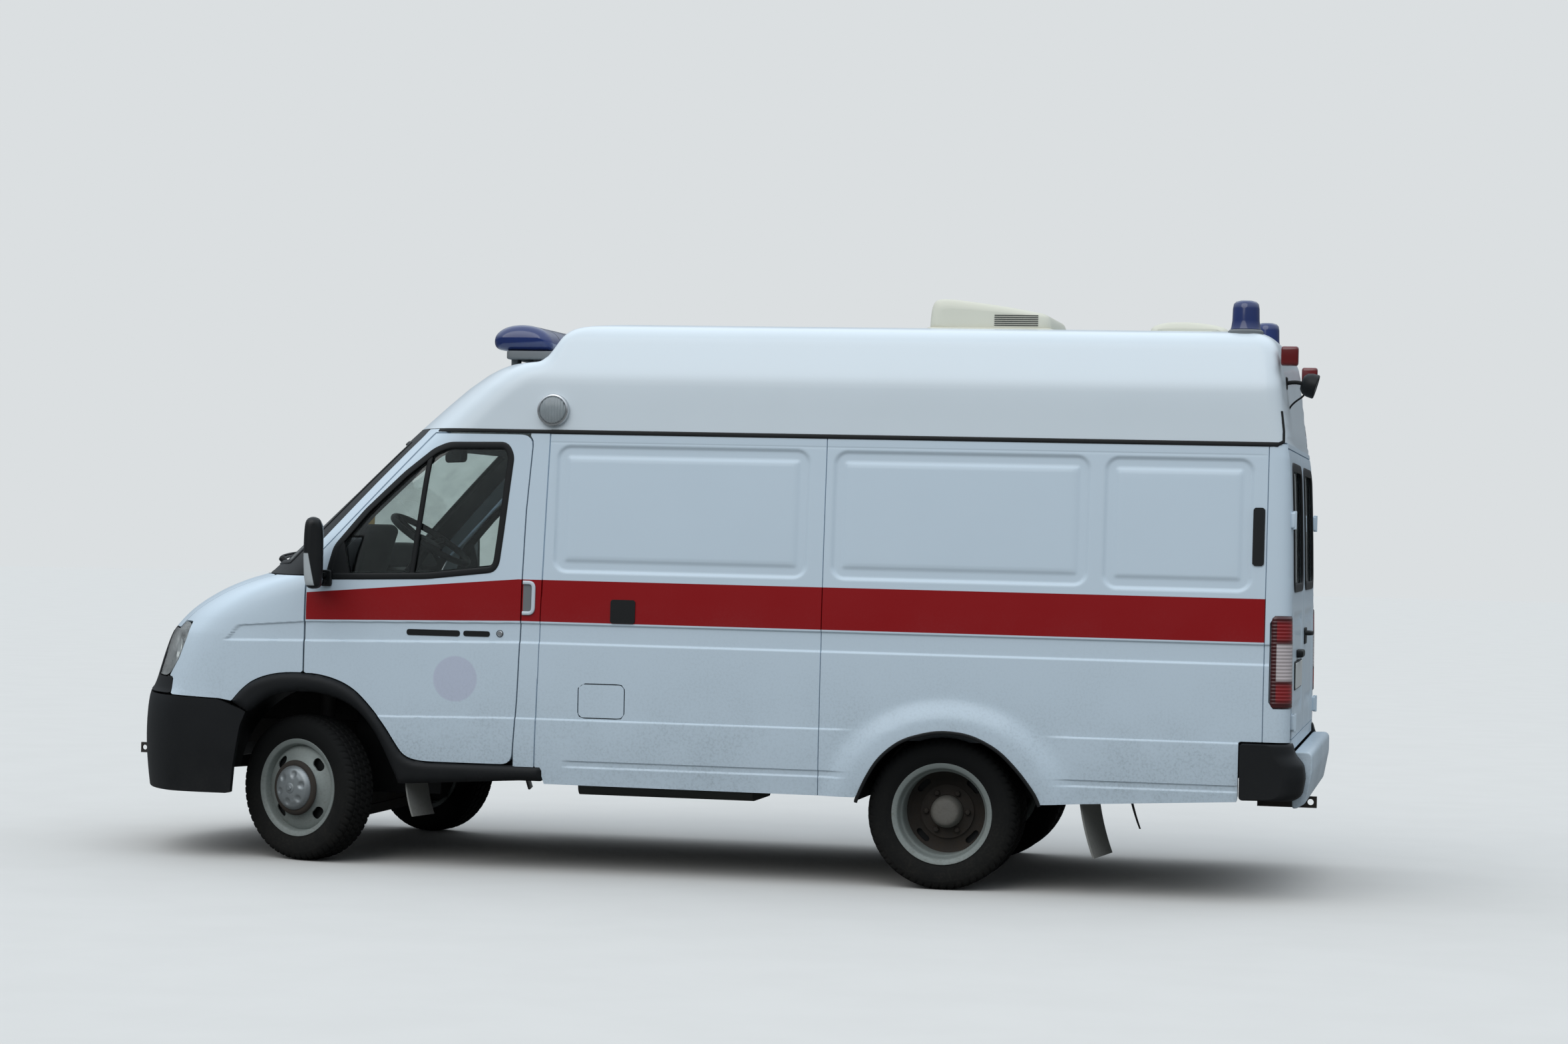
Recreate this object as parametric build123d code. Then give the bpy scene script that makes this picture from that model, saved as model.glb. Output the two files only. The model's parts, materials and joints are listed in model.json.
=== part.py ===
from build123d import *
import math
import os

# Ambulance: a long panel van with a high roof, in millimetres.
# X runs to the rear from the front axle, Y to the vehicle's right, Z up from the ground.
# The finished pieces are moved so that the origin is on the ground below the middle of the length.

# Main sizes
WHEELBASE = 2900
NOSE_X = -1040
TAIL_X = 4395
STEP_REAR_X = 4480
HALF_WIDTH = 1037
GUTTER_Z = 1961
ROOF_Z = 2482
SILL_Z = 398
MIDDLE_X = (NOSE_X + STEP_REAR_X) / 2

# Wheels
AXLE_Z = 330
TYRE_R = 330
TYRE_WIDTH = 184
RIM_R = 220
RIM_WIDTH = 164
FRONT_WHEEL_Y = 850
KINGPIN_Y = 760
TWIN_Y = (680, 890)
STEER_DEG = 22
BORE_GAP = 0.08

# Walls, and the gaps between panels
WALL = 45
SKIN = 22
GLASS_OUT, GLASS_IN = 12, 18
GAP = 6
SEAM = 4

# Wheel arches: inner and outer radius of the black flare in front. The rear arch is an outline from its front
# foot over the wheel to its rear foot, and the side swells round it: foot of the swelling, crest, and their Y
ARCH_IN, ARCH_OUT = 455, 522
REAR_ARCH = [
    (2522, 300), (2529, 371), ((2600, 530), (2729, 651)), ((2884, 693), (3025, 683)),
    ((3160, 616), (3253, 520)), (3332, 412), (3352, 300),
]
SWELL_FOOT = [(2380, 402), ((2545, 715), (2925, 815)), ((3305, 715), (3470, 402))]
SWELL_CREST = [(2455, 402), ((2592, 668), (2925, 757)), ((3258, 668), (3395, 402))]
SWELL_Y = (1000, 1055)

# Front profile on the middle plane: X and Z of the bumper, grille, bonnet, windscreen and roof cap
PROFILE = [
    (-1000, 200), (-1024, 330), (-1040, 480), (-1040, 620), (-1026, 735), (-1000, 760),
    (-960, 900), (-925, 1000), (-898, 1042), (-815, 1127), (-686, 1208), (-560, 1262),
    (-455, 1292), (-432, 1304), (255, 1962), (642, 2286), (900, 2302),
]
# Front of the raised roof, behind the ledge that carries the light bar
ROOF_PROFILE = [
    (1004, 2290), (1020, 2330), (1048, 2380), (1078, 2416), (1112, 2442), (1165, 2464), (1260, 2486),
    (1400, 2560),
]
# Plan curve of the front: how far back the surface lies at BOW_Y from the middle
FRONT_BOW, ROOF_BOW, BOW_Y = 240, 55, 850
CORNER_MID, CORNER_END = (365, 982), (560, 1046)

# Body section: half width and height, from the sill to the gutter
SECTION = [
    (1000, 200), (1012, 400), (1022, 496), (1032, 506), (1037, 560), (1037, 1008), (1026, 1022),
    (1026, 1104), (1032, 1112), (1032, 1180), (986, GUTTER_Z), (971, 2208), (905, 2366),
]
SHOULDER_MID, SHOULDER_END = (850, 2426), (735, 2455)
REAR_CORNER_R = 70

# Rear profile, from the ground up
REAR_PROFILE = [
    (TAIL_X, 200), (TAIL_X, 1000), (4373, 1850), (4348, 2000), (4327, 2136), (4316, 2260), (4304, 2372),
    (4280, 2426), (4236, 2458), (4150, 2484), (3900, 2560),
]

# Front door outline corners
DOOR_FRONT_X, DOOR_BELT_Z, DOOR_TOP_Z, DOOR_BOTTOM_Z = -4, 1300, 1946, 476
DOOR_REAR = [(1028, DOOR_TOP_Z), (1006, 1601), (999, 1305), (998, 1098), (988, 773), (970, DOOR_BOTTOM_Z)]
PILLAR_FOOT, PILLAR_HEAD = (48, 1400), (560, DOOR_TOP_Z)
WINDOW = [
    (96, 1292), (125, 1425), (260, 1590), (440, 1762), (575, 1868), (640, 1894), (905, 1898),
    (930, 1850), (915, 1700), (895, 1500), (880, 1370), (862, 1342), (560, 1306),
]

# Rear doors
REAR_DOOR_Y, REAR_DOOR_Z = 930, (705, 1942)
REAR_FACE_X = 4250

# Side: seams, stamped panels (front, rear, bottom and top edges of the rim, and of the flat inside it)
SEAMS_X = (1092, 2360, 4278)
STAMPINGS = [
    ((1140, 2289, 1336, 1904), (1206, 2224, 1396, 1846)),
    ((2393, 3519, 1336, 1902), (2448, 3464, 1396, 1848)),
    ((3579, 4220, 1328, 1900), (3635, 4168, 1392, 1846)),
]
STAMP_DEPTH = 13
TAIL_LAMP = [(4308, 1230), (4308, 838), (4500, 833), (4500, 1234)]
HANDLE_X, HANDLE_Z = (1006, 1064), (1150, 1292)
FLAP_X, FLAP_Z, FLAP_THICK = (1275, 1481), (699, 845), 10

# Roof fittings: front, rear, half width or middle, bottom and top
LIGHT_BAR_X, LIGHT_BAR_Y, LIGHT_BAR_Z = (711, 991), 610, (2340, 2462)
BEACON_X, BEACON_Y, BEACON_FOOT_Z, BEACON_TOP_Z = 4150, 745, 2462, 2590
AIR_UNIT_X, AIR_UNIT_Y, AIR_UNIT_TOP_Z = (2690, 3240), 330, 2618
VENT_X, VENT_Y, VENT_TOP_Z = (3680, 4035), 240, 2530

# Lamps on the roof: round side lamps, red rear markers and the rear work lamp
SIDE_LAMP_X, SIDE_LAMP_Z, SIDE_LAMP_R, SIDE_LAMP_Y = 1117, 2056, 73, 1016
MARKER_Y, MARKER_Z, MARKER_REAR_X = (835, 905), (2288, 2371), 4390
WORK_LAMP_X, WORK_LAMP_Y, WORK_LAMP_Z, WORK_LAMP_R = (4378, 4452), -500, 2240, 54

# Mirror head seen from the side, and its reach from the door
MIRROR_HEAD = [
    (62, 1243), (108, 1243), ((128, 1252), (133, 1280)), (131, 1505), ((124, 1543), (92, 1555)),
    (72, 1555), ((42, 1545), (33, 1505)), (29, 1300), ((38, 1254), (62, 1243)),
]
MIRROR_Y = (1072, 1250)

# Wheel discs: place and radius of the slots, and the turns in degrees of the bores that make each one
SLOT_TURNS = (45, 135, 225, 315)
FRONT_SLOTS = (141, 21, (-8, 0, 8))
TWIN_SLOTS = (160, 14, (-14, -7, 0, 7, 14))

# Towing eyes: the middle of each hole, and its radius
FRONT_EYE, FRONT_EYE_R = (-1010, -400, 450), 12
REAR_EYE, REAR_EYE_R = (4440, 0, 372), 14

# Frame cross-members
CROSS_MEMBERS_X = (-800, 480, 1900, 2500, 3480, 4230)

# Cab and load floors, and the bulkhead between them
CAB_FLOOR_Z, LOAD_FLOOR_Z, FLOOR_THICK = 836, 725, 30
BULKHEAD_X = (1112, 1138)

# Blocks below the floor: front, rear, left, right, bottom and top
ENGINE_BLOCKS = [(-640, -180, -250, 250, 620, 1030), (-180, 420, -125, 125, 620, 790)]
TANK = (1255, 2050, -930, -520, 348, 600)
SILENCER_Y, SILENCER_Z = 640, 455
SPRING_Y, SPRING_REACH = 505, 620

# Reach of the cutting blocks past the body
FAR = 3000


def outline_face(outline, place):
    """Face inside a closed outline of corners; a pair of corners is an arc's middle and end."""
    edges = []
    here = outline[0]
    for step in outline[1:] + [outline[0]]:
        is_arc = isinstance(step[0], tuple)
        end = step[1] if is_arc else step
        if math.dist(here, end) > 1e-6:
            if is_arc:
                edges.append(Edge.make_three_point_arc(place(here), place(step[0]), place(end)))
            else:
                edges.append(Edge.make_line(place(here), place(end)))
        here = end
    return Face(Wire(edges))


def side_prism(outline, y0, y1):
    """Outline in X and Z, carried along Y."""
    return Solid.extrude(outline_face(outline, lambda p: Vector(p[0], y0, p[1])), Vector(0, y1 - y0, 0))


def front_prism(outline, x0, x1):
    """Outline in Y and Z, carried along X."""
    return Solid.extrude(outline_face(outline, lambda p: Vector(x0, p[0], p[1])), Vector(x1 - x0, 0, 0))


def plan_prism(outline, z0, z1):
    """Outline in X and Y, carried along Z."""
    return Solid.extrude(outline_face(outline, lambda p: Vector(p[0], p[1], z0)), Vector(0, 0, z1 - z0))


def box(x0, x1, y0, y1, z0, z1):
    return Solid.make_box(x1 - x0, y1 - y0, z1 - z0, Plane((x0, y0, z0)))


def rod(radius, start, end):
    line = Vector(*end) - Vector(*start)
    return Solid.make_cylinder(radius, line.length, Plane(origin=start, z_dir=line))


def ring_y(inner, outer, x, z, y0, y1):
    """Ring about an axis along Y."""
    return join(rod(outer, (x, y0, z), (x, y1, z))) - rod(inner, (x, y0 - 1, z), (x, y1 + 1, z))


def join(*solids):
    return Part() + [s for s in solids]


def mirrored(piece):
    return piece.mirror(Plane.XZ)


def both_sides(piece):
    return join(*piece.solids(), *mirrored(piece).solids())


def envelope(inset):
    """Body's outer form, moved inwards by inset: the front stack cut by the section, rear and plan."""
    shift = 0.85 * inset
    edge = BOW_Y - inset

    def front_plan(x0, bow):
        (mid_x, mid_y), (end_x, end_y) = CORNER_MID, CORNER_END
        mid_x, end_x = mid_x + bow - FRONT_BOW, end_x + bow - FRONT_BOW
        return [
            (x0 + bow, -edge), ((x0, 0), (x0 + bow, edge)),
            ((x0 + mid_x, mid_y - inset), (x0 + end_x, end_y - inset)),
            (TAIL_X + FAR, end_y - inset), (TAIL_X + FAR, inset - end_y), (x0 + end_x, inset - end_y),
            ((x0 + mid_x, inset - mid_y), (x0 + bow, -edge)),
        ]

    stack = []
    for line, bow in ((PROFILE, FRONT_BOW), (ROOF_PROFILE, ROOF_BOW)):
        profile = [(x + shift, z - shift) for x, z in line]
        for (x0, z0), (x1, z1) in zip(profile, profile[1:]):
            face = outline_face(front_plan(x0, bow), lambda p: Vector(p[0], p[1], z0))
            stack.append(Solid.extrude(face, Vector(x1 - x0, 0, z1 - z0)))
    right = [(y - inset, z - (inset if z > GUTTER_Z else 0)) for y, z in SECTION]
    mid = (SHOULDER_MID[0] - inset, SHOULDER_MID[1] - inset)
    end = (SHOULDER_END[0] - inset, SHOULDER_END[1] - inset)
    left = [(-y, z) for y, z in right]
    section = right + [(mid, end), ((0, ROOF_Z - inset), (-end[0], end[1])), ((-mid[0], mid[1]), left[-1])]
    section += left[-2::-1]
    rear = [(x - inset, z - (inset if z > 2400 else 0)) for x, z in REAR_PROFILE]
    rear = [(-FAR, 200), *rear, (-FAR, 2560)]
    plan = box(-FAR, TAIL_X - inset, inset - 1042, 1042 - inset, 190, 2600)
    corners = plan.edges().filter_by(Axis.Z).sort_by(Axis.X)[-2:]
    form = join(*stack) & front_prism(section, -FAR, TAIL_X + FAR)
    return form & side_prism(rear, -1100, 1100) & plan.fillet(REAR_CORNER_R, corners)


OUTER = envelope(0)
SEAM_FORM = envelope(6)
GLASS_OUTER, GLASS_INNER = envelope(GLASS_OUT), envelope(GLASS_IN)
SKIN_FORM = envelope(SKIN)
WALL_FORM = envelope(WALL)
WALL_SHELL = OUTER - WALL_FORM
SKIN_SHELL = OUTER - SKIN_FORM
GLASS_SHEET = GLASS_OUTER - GLASS_INNER


def arch_point(radius, degrees):
    angle = math.radians(degrees)
    return (radius * math.cos(angle), AXLE_Z + radius * math.sin(angle))


def door_outline(gap):
    """Front door's edge seen from the side, moved outwards by gap."""
    reach = ARCH_OUT + 8 - gap
    low = math.degrees(math.asin((DOOR_BOTTOM_Z - gap - AXLE_Z) / reach))
    high = math.degrees(math.acos((DOOR_FRONT_X - gap) / reach))
    rear = [(x + gap, z) for x, z in DOOR_REAR]
    rear[0] = (rear[0][0], DOOR_TOP_Z + gap)
    rear[-1] = (rear[-1][0], DOOR_BOTTOM_Z - gap)
    return [
        arch_point(reach, high), (DOOR_FRONT_X - gap, DOOR_BELT_Z),
        (PILLAR_FOOT[0] - 1.4 * gap, PILLAR_FOOT[1]), (PILLAR_HEAD[0] - 1.4 * gap, PILLAR_HEAD[1]),
        (PILLAR_HEAD[0], DOOR_TOP_Z + gap), *rear, arch_point(reach, low),
        (arch_point(reach, (low + high) / 2), arch_point(reach, high)),
    ]


DOOR_CUT = side_prism(door_outline(GAP), -1200, 0)
DOOR_FORM = side_prism(door_outline(0), -1200, 0)
WINDOW_CUT = side_prism(WINDOW, -1200, 0)


def front_door():
    return (WALL_SHELL & DOOR_FORM) - WINDOW_CUT


def front_door_glass():
    return GLASS_SHEET & WINDOW_CUT


def mirror():
    """Tall mirror head on two arms, outside the front corner of the door window."""
    near, far = MIRROR_Y
    head = side_prism(MIRROR_HEAD, -far, -near)
    head = head.fillet(16, head.faces().sort_by(Axis.Y)[0].edges())
    arms = [rod(11, (88, -near - 8, z), (88, -HALF_WIDTH + 3, z)) for z in (1268, 1298)]
    return join(head, *arms)


FRONT_ARCH = rod(ARCH_OUT, (0, -1200, AXLE_Z), (0, 1200, AXLE_Z))
BUMPER_TOP_Z, WING_TOP_Z = 738, 1292
FLARE_Y = 1046
HEADLAMP = [(-590, 1066), (-602, 1000), (-640, 900), (-694, 822), (-1200, 822), (-1200, 1066)]
HEADLAMP_IN_Y = 560
GRILLE_Z = (745, 1034)


def bonnet_plan(gap):
    """Bonnet's edge from above, narrowing to the front, with its rear edge along the windscreen."""
    side, rear_x = 862 + gap, -462 + gap
    rear_mid = (rear_x, 0)
    return [
        (-1300, -660 - gap), (-760, -790 - gap), (rear_x + 250, -side),
        (rear_mid, (rear_x + 250, side)), (-760, 790 + gap), (-1300, 660 + gap),
    ]


def bonnet():
    return SKIN_SHELL & plan_prism(bonnet_plan(0), 1040, 1400)


def headlamp_space():
    return side_prism(HEADLAMP, -1200, -HEADLAMP_IN_Y)


def headlamps():
    one = WALL_SHELL & headlamp_space()
    return both_sides(one - plan_prism(bonnet_plan(GAP), 1034, 1420))


def wings():
    """Front wings between bumper, bonnet, headlamps and doors, over the wheel arch."""
    zone = box(-1300, DOOR_FRONT_X - GAP - 2, -1200, 0, BUMPER_TOP_Z + 4, WING_TOP_Z)
    one = (SKIN_SHELL & zone) - FRONT_ARCH - plan_prism(bonnet_plan(GAP), 1034, 1420)
    return both_sides(one - headlamp_space() - box(-1300, -400, -700, 0, 700, 1400))


def grille():
    """Radiator grille between the headlamps: a frame with four bars, and its bare middle bar."""
    body = WALL_SHELL & box(-1300, -560, -HEADLAMP_IN_Y + 3, HEADLAMP_IN_Y - 3, *GRILLE_Z)
    slots = []
    for z in (790, 846, 902, 958):
        slots.append(box(-1300, -700, -HEADLAMP_IN_Y + 40, HEADLAMP_IN_Y - 40, z, z + 36))
    return body - join(*slots)


def flare_outline(grow):
    """Arch flare seen from the side, from the bumper's top round to the sill, moved outwards by grow."""
    low, high = 5, 128
    middle = (low + high) / 2
    outer, inner = ARCH_OUT + grow, ARCH_IN - grow
    return [
        arch_point(outer, low + 3), (arch_point(outer, middle), arch_point(outer, high)),
        arch_point(inner, high), (arch_point(inner, middle), arch_point(inner, low)),
    ]


def front_bumper():
    """Wrap-round bumper down to its lower lip, with a wide air slot."""
    zone = side_prism([(-1300, 300), (-150, 300), (-150, BUMPER_TOP_Z), (-1300, BUMPER_TOP_Z)], -1200, 1200)
    body = (WALL_SHELL & zone) - rod(ARCH_IN, (0, -1200, AXLE_Z), (0, 1200, AXLE_Z))
    body = body - side_prism(flare_outline(2), -1200, 1200)
    return body - box(-1300, -900, -420, 420, 400, 500) - box(-290, 0, -1200, 1200, 200, 2000)


SCREEN_EDGE = [(-838, 1352), ((0, 1336), (838, 1352)), (752, 1902), ((0, 1916), (-752, 1902))]
SCREEN_CUT = front_prism(SCREEN_EDGE, -700, 690)


def cab_frame():
    """Windscreen frame: cowl, pillars and header, with the front wall of the cab below it."""
    zone = side_prism([(-700, 1296), (620, 1296), (620, 1966), (-700, 1966)], -1200, 1200)
    frame = (WALL_SHELL & zone) - plan_prism(bonnet_plan(GAP + 2), 1034, 1420)
    frame = frame - DOOR_CUT - mirrored(DOOR_CUT) - SCREEN_CUT
    wall = box(-130, -105, -960, 960, CAB_FLOOR_Z, 1240) & WALL_FORM
    return join(*frame.solids(), *wall.solids())


def windscreen():
    return GLASS_SHEET & SCREEN_CUT


def swelling():
    """Low swelling of the side over the rear wheel, from its foot within the wall to its crest."""
    loops = []
    for outline, y in zip((SWELL_FOOT, SWELL_CREST), SWELL_Y):
        loops.append(outline_face(outline, lambda p: Vector(p[0], -y, p[1])).outer_wire())
    return Solid.make_loft(loops, ruled=True)


def stamping(rim, flat):
    """Shallow dish in the side: from the rim's rectangle at the skin to the flat inside it."""
    (y0, z0), (y1, z1) = SECTION[9], SECTION[10]
    lean = (y0 - y1) / (z1 - z0)

    def corners(edges, depth):
        x0, x1, low, high = edges
        ring = ((x0, low), (x1, low), (x1, high), (x0, high))
        return [Vector(x, depth - y0 + lean * (z - z0), z) for x, z in ring]

    loops = []
    for edges, depth in ((rim, -4), (flat, STAMP_DEPTH)):
        loops.append(Wire.make_polygon(corners(edges, depth), close=True))
    return Solid.make_loft(loops, ruled=True)


SILL_REAR_X, SILL_TOP_Z = 1112, DOOR_BOTTOM_Z - GAP
CORNER_PIECE_X, CORNER_PIECE_TOP_Z = 4176, 694
SIDE_OUTLINE = [
    (940, SILL_TOP_Z), (SILL_REAR_X, SILL_TOP_Z), (SILL_REAR_X, SILL_Z), (CORNER_PIECE_X, SILL_Z + 40),
    (CORNER_PIECE_X, CORNER_PIECE_TOP_Z), (4500, CORNER_PIECE_TOP_Z), (4500, GUTTER_Z + 7),
    (620, GUTTER_Z + 7), (620, 1900), (940, 1900),
]


def side_wall(with_flap):
    """Load space side from the door pillar to the rear corner post, with its arch and stamped panels."""
    zone = side_prism(SIDE_OUTLINE, -1200, 0)
    wall = (WALL_SHELL & zone) + swelling() - DOOR_CUT - side_prism(REAR_ARCH, -1200, 0)
    wall = wall - box(REAR_FACE_X, 4600, -REAR_DOOR_Y - GAP, 0, 0, 2000)
    for rim, flat in STAMPINGS:
        wall = wall - stamping(rim, flat)
    seams = [box(x - SEAM / 2, x + SEAM / 2, -1200, 0, 300, GUTTER_Z - 10) for x in SEAMS_X]
    wall = wall - (join(*seams) - SEAM_FORM)
    wall = wall - box(*HANDLE_X, -1060, -1008, *HANDLE_Z)
    if with_flap:
        pocket = box(FLAP_X[0] - 5, FLAP_X[1] + 5, -1100, -1003, FLAP_Z[0] - 5, FLAP_Z[1] + 5)
        wall = wall - pocket
    return wall - tail_lamp_space()


def tail_lamp_space():
    return side_prism(TAIL_LAMP, -1200, -REAR_DOOR_Y - 20)


def tail_lamps():
    return both_sides(WALL_SHELL & tail_lamp_space())


SILL_OUTLINE = [
    arch_point(ARCH_IN, 5), (474, SILL_Z), (SILL_REAR_X, SILL_Z), (SILL_REAR_X, SILL_TOP_Z),
    (500, SILL_TOP_Z),
]
SLIDE_DOOR = [(1100, 1940), (2352, 1940), (2352, 470), (1100, 470)]


def slide_cut(gap):
    (x0, z1), (x1, _), (_, z0), _ = SLIDE_DOOR
    return box(x0 - gap, x1 + gap, 0, 1200, z0 - gap, z1 + gap)


def side_left():
    return side_wall(True)


def side_right():
    return mirrored(side_wall(False)) - slide_cut(SEAM)


def sliding_door():
    return mirrored(side_wall(False)) & slide_cut(0)


def fuel_flap():
    (x0, x1), (z0, z1) = FLAP_X, FLAP_Z
    plate = box(x0, x1, -HALF_WIDTH, -HALF_WIDTH + FLAP_THICK, z0, z1)
    return join(plate.fillet(14, plate.edges().filter_by(Axis.Y)))


def roof_cap():
    """High roof shell above the gutter, with the gutter strip along each side."""
    cap = WALL_SHELL & box(-500, 4600, -1200, 1200, GUTTER_Z + 7, 2700)
    strip = front_prism([
        (-960, GUTTER_Z + 8), (-988, GUTTER_Z + 8), (-988, GUTTER_Z - 3), (-997, GUTTER_Z - 3),
        (-997, GUTTER_Z + 20), (-960, GUTTER_Z + 24)], 700, 4330)
    outside = join(strip) - WALL_FORM
    return cap + outside + mirrored(outside)


def trim():
    """Black trim on both sides: arch flare, sill step, wheel arch liner and the two mudflaps."""
    flare = side_prism(flare_outline(0), -FLARE_Y, -985)
    sill = side_prism(SILL_OUTLINE, -1030, -940)
    sill = join(sill) - rod(ARCH_OUT + 1, (0, -1100, AXLE_Z), (0, 0, AXLE_Z))
    liner_out = ARCH_IN + 12
    liner_face = [
        arch_point(liner_out, 20), (arch_point(liner_out, 95), arch_point(liner_out, 170)),
        arch_point(ARCH_IN, 170), (arch_point(ARCH_IN, 95), arch_point(ARCH_IN, 20)),
    ]
    liner = join(side_prism(liner_face, -984, -580)) & WALL_FORM
    front_flap = side_prism([(470, 372), (482, 372), (512, 232), (500, 232)], -985, -760)
    rear_flap = side_prism([(3500, 388), (3512, 388), (3572, 163), (3560, 163)], -975, -640)
    return both_sides(join(flare, *sill.solids(), *liner.solids(), front_flap, rear_flap))


REAR_WINDOW_CUT = front_prism([(-812, 1348), (-806, 1872), (-120, 1872), (-120, 1348)], 4200, 4600)


def rear_door():
    z0, z1 = REAR_DOOR_Z
    door = WALL_SHELL & box(REAR_FACE_X, 4600, -REAR_DOOR_Y, -4, z0, z1)
    return door - REAR_WINDOW_CUT


def rear_door_glass():
    return GLASS_SHEET & REAR_WINDOW_CUT & box(REAR_FACE_X, 4600, -REAR_DOOR_Y, 0, 1000, 2000)


def rear_frame():
    """Rear door frame inside the doors, with the header and the sill between the corner posts."""
    z0, z1 = REAR_DOOR_Z
    inner = TAIL_X - WALL
    ring = box(4285, inner - GAP, -990, 990, 700, GUTTER_Z) - box(4200, 4400, -880, 880, 740, 1895)
    ring = join(ring) & WALL_FORM
    header = WALL_SHELL & box(REAR_FACE_X, 4600, -REAR_DOOR_Y, REAR_DOOR_Y, z1 + GAP, GUTTER_Z + 6)
    sill = WALL_SHELL & box(REAR_FACE_X, 4600, -REAR_DOOR_Y, REAR_DOOR_Y, 650, z0 - GAP)
    return join(*ring.solids(), *header.solids(), *sill.solids())


STEP_Y = 850
STEP_OUTLINE = [
    (4402, 560), (4402, 644), (4468, 644), (STEP_REAR_X, 632), (STEP_REAR_X, 560), (4456, 430),
    (4420, 404), (4402, 404),
]
CORNER_OUTLINE = [
    (4182, 688), (4402, 688), (4418, 640), (4452, 575), (4452, 470), (4425, 447), (4200, 442), (4182, 470),
]


def rear_bumper():
    """White step bumper between two black corner pieces."""
    return join(side_prism(STEP_OUTLINE, -STEP_Y, STEP_Y))


def bumper_corners():
    corner = side_prism(CORNER_OUTLINE, -1046, -STEP_Y - GAP)
    plan = box(4100, 4460, -1046, -800, 400, 720)
    plan = plan.fillet(75, plan.edges().filter_by(Axis.Z).group_by(Axis.X)[-1].sort_by(Axis.Y)[:1])
    body = join(corner) & plan
    return both_sides(body - box(4100, 4397, -990, -800, 400, 720))


def chassis():
    """Ladder frame: two rails joined by cross-members."""
    pieces = [box(-820, 4300, y - 30, y + 30, 500, 610) for y in (-430, 430)]
    for x in CROSS_MEMBERS_X:
        pieces.append(box(x - 30, x + 30, -400, 400, 515, 595))
    x, y, z = FRONT_EYE
    pieces.append(box(x - 18, -790, y - 6, y + 6, z - 24, z + 24))
    pieces.append(box(-830, -790, y - 6, y + 6, z - 24, 520))
    x, y, z = REAR_EYE
    pieces.append(box(4235, x + 28, y - 8, y + 8, z - 26, z + 26))
    pieces.append(box(4200, 4260, y - 8, y + 8, z - 26, 520))
    eyes = [rod(FRONT_EYE_R, (FRONT_EYE[0], -600, FRONT_EYE[2]), (FRONT_EYE[0], 0, FRONT_EYE[2])),
            rod(REAR_EYE_R, (REAR_EYE[0], -60, REAR_EYE[2]), (REAR_EYE[0], 60, REAR_EYE[2]))]
    return join(*pieces) - join(*eyes)


def floors():
    """Cab floor and load floor, each a plain slab to the walls."""
    load = box(1146, 4284, -984, 984, LOAD_FLOOR_Z - FLOOR_THICK, LOAD_FLOOR_Z)
    cab = box(-100, 1140, -975, 975, CAB_FLOOR_Z - FLOOR_THICK, CAB_FLOOR_Z)
    return join(load, cab) & WALL_FORM


def bulkhead():
    return join(box(*BULKHEAD_X, -1000, 1000, CAB_FLOOR_Z + 1, GUTTER_Z - 11)) & WALL_FORM


def engine():
    """Engine and gearbox as two plain blocks."""
    return join(*[box(*sizes) for sizes in ENGINE_BLOCKS])


def front_axle():
    """Cross-member with lower arms and struts that carry the knuckles."""
    pieces = [box(-55, 55, -640, 640, 160, 205), box(-45, 45, -460, 460, 205, 500)]
    for y in (-1, 1):
        pieces.append(box(-40, 40, min(y * 600, y * 790), max(y * 600, y * 790), 165, 205))
        pieces.append(rod(34, (0, y * 700, 466), (0, y * 700, 780)))
    return join(*pieces) - box(-70, 70, -380, 380, 260, 470)


def rear_axle():
    """Axle beam with its drive housing, stub ends, leaf springs and propeller shaft."""
    x, z = WHEELBASE, AXLE_Z
    beam = rod(52, (x, -570, z), (x, 570, z))
    housing = rod(150, (x, -90, z), (x, 90, z))
    stubs = rod(38, (x, -800, z), (x, 800, z))
    shaft = rod(34, (432, 0, 660), (x - 120, 0, 350))
    front, rear = x - SPRING_REACH, x + SPRING_REACH
    leaf = side_prism([
        (front, 530), ((x, 384), (rear, 530)), (rear, 500), ((x, 354), (front, 500))],
        -SPRING_Y - 35, -SPRING_Y + 35)
    springs = [leaf]
    for end in (front + 15, rear - 15):
        springs.append(box(end - 18, end + 18, -SPRING_Y, -SPRING_Y + 44, 500, 560))
    return join(beam, housing, stubs, shaft, *springs, *[mirrored(piece) for piece in springs])


def underbody():
    """Fuel tank on the left, silencer and pipe on the right."""
    tank = box(*TANK)
    tank = tank.fillet(40, tank.edges().filter_by(Axis.X))
    y, z = SILENCER_Y, SILENCER_Z
    silencer = rod(95, (1350, y, z), (1950, y, z))
    pipe = rod(28, (620, y, z), (2250, y, z))
    return join(tank, silencer + pipe)


def steering_turn(piece, side):
    """Turns a front wheel piece about its kingpin to the parked steering angle."""
    return piece.rotate(Axis((0, side * KINGPIN_Y, 0), (0, 0, 1)), -STEER_DEG)


def knuckle(side):
    """Kingpin post with the spindle and the brake's backing plate; side is -1 on the left."""
    y = KINGPIN_Y
    post = rod(32, (0, -y, 210), (0, -y, 458))
    spindle = rod(27, (0, -y, AXLE_Z), (0, -FRONT_WHEEL_Y - 70, AXLE_Z))
    plate = rod(112, (0, -y - 34, AXLE_Z), (0, -y - 40, AXLE_Z))
    piece = join(post, spindle, plate)
    return steering_turn(piece if side < 0 else mirrored(piece), side)


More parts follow.
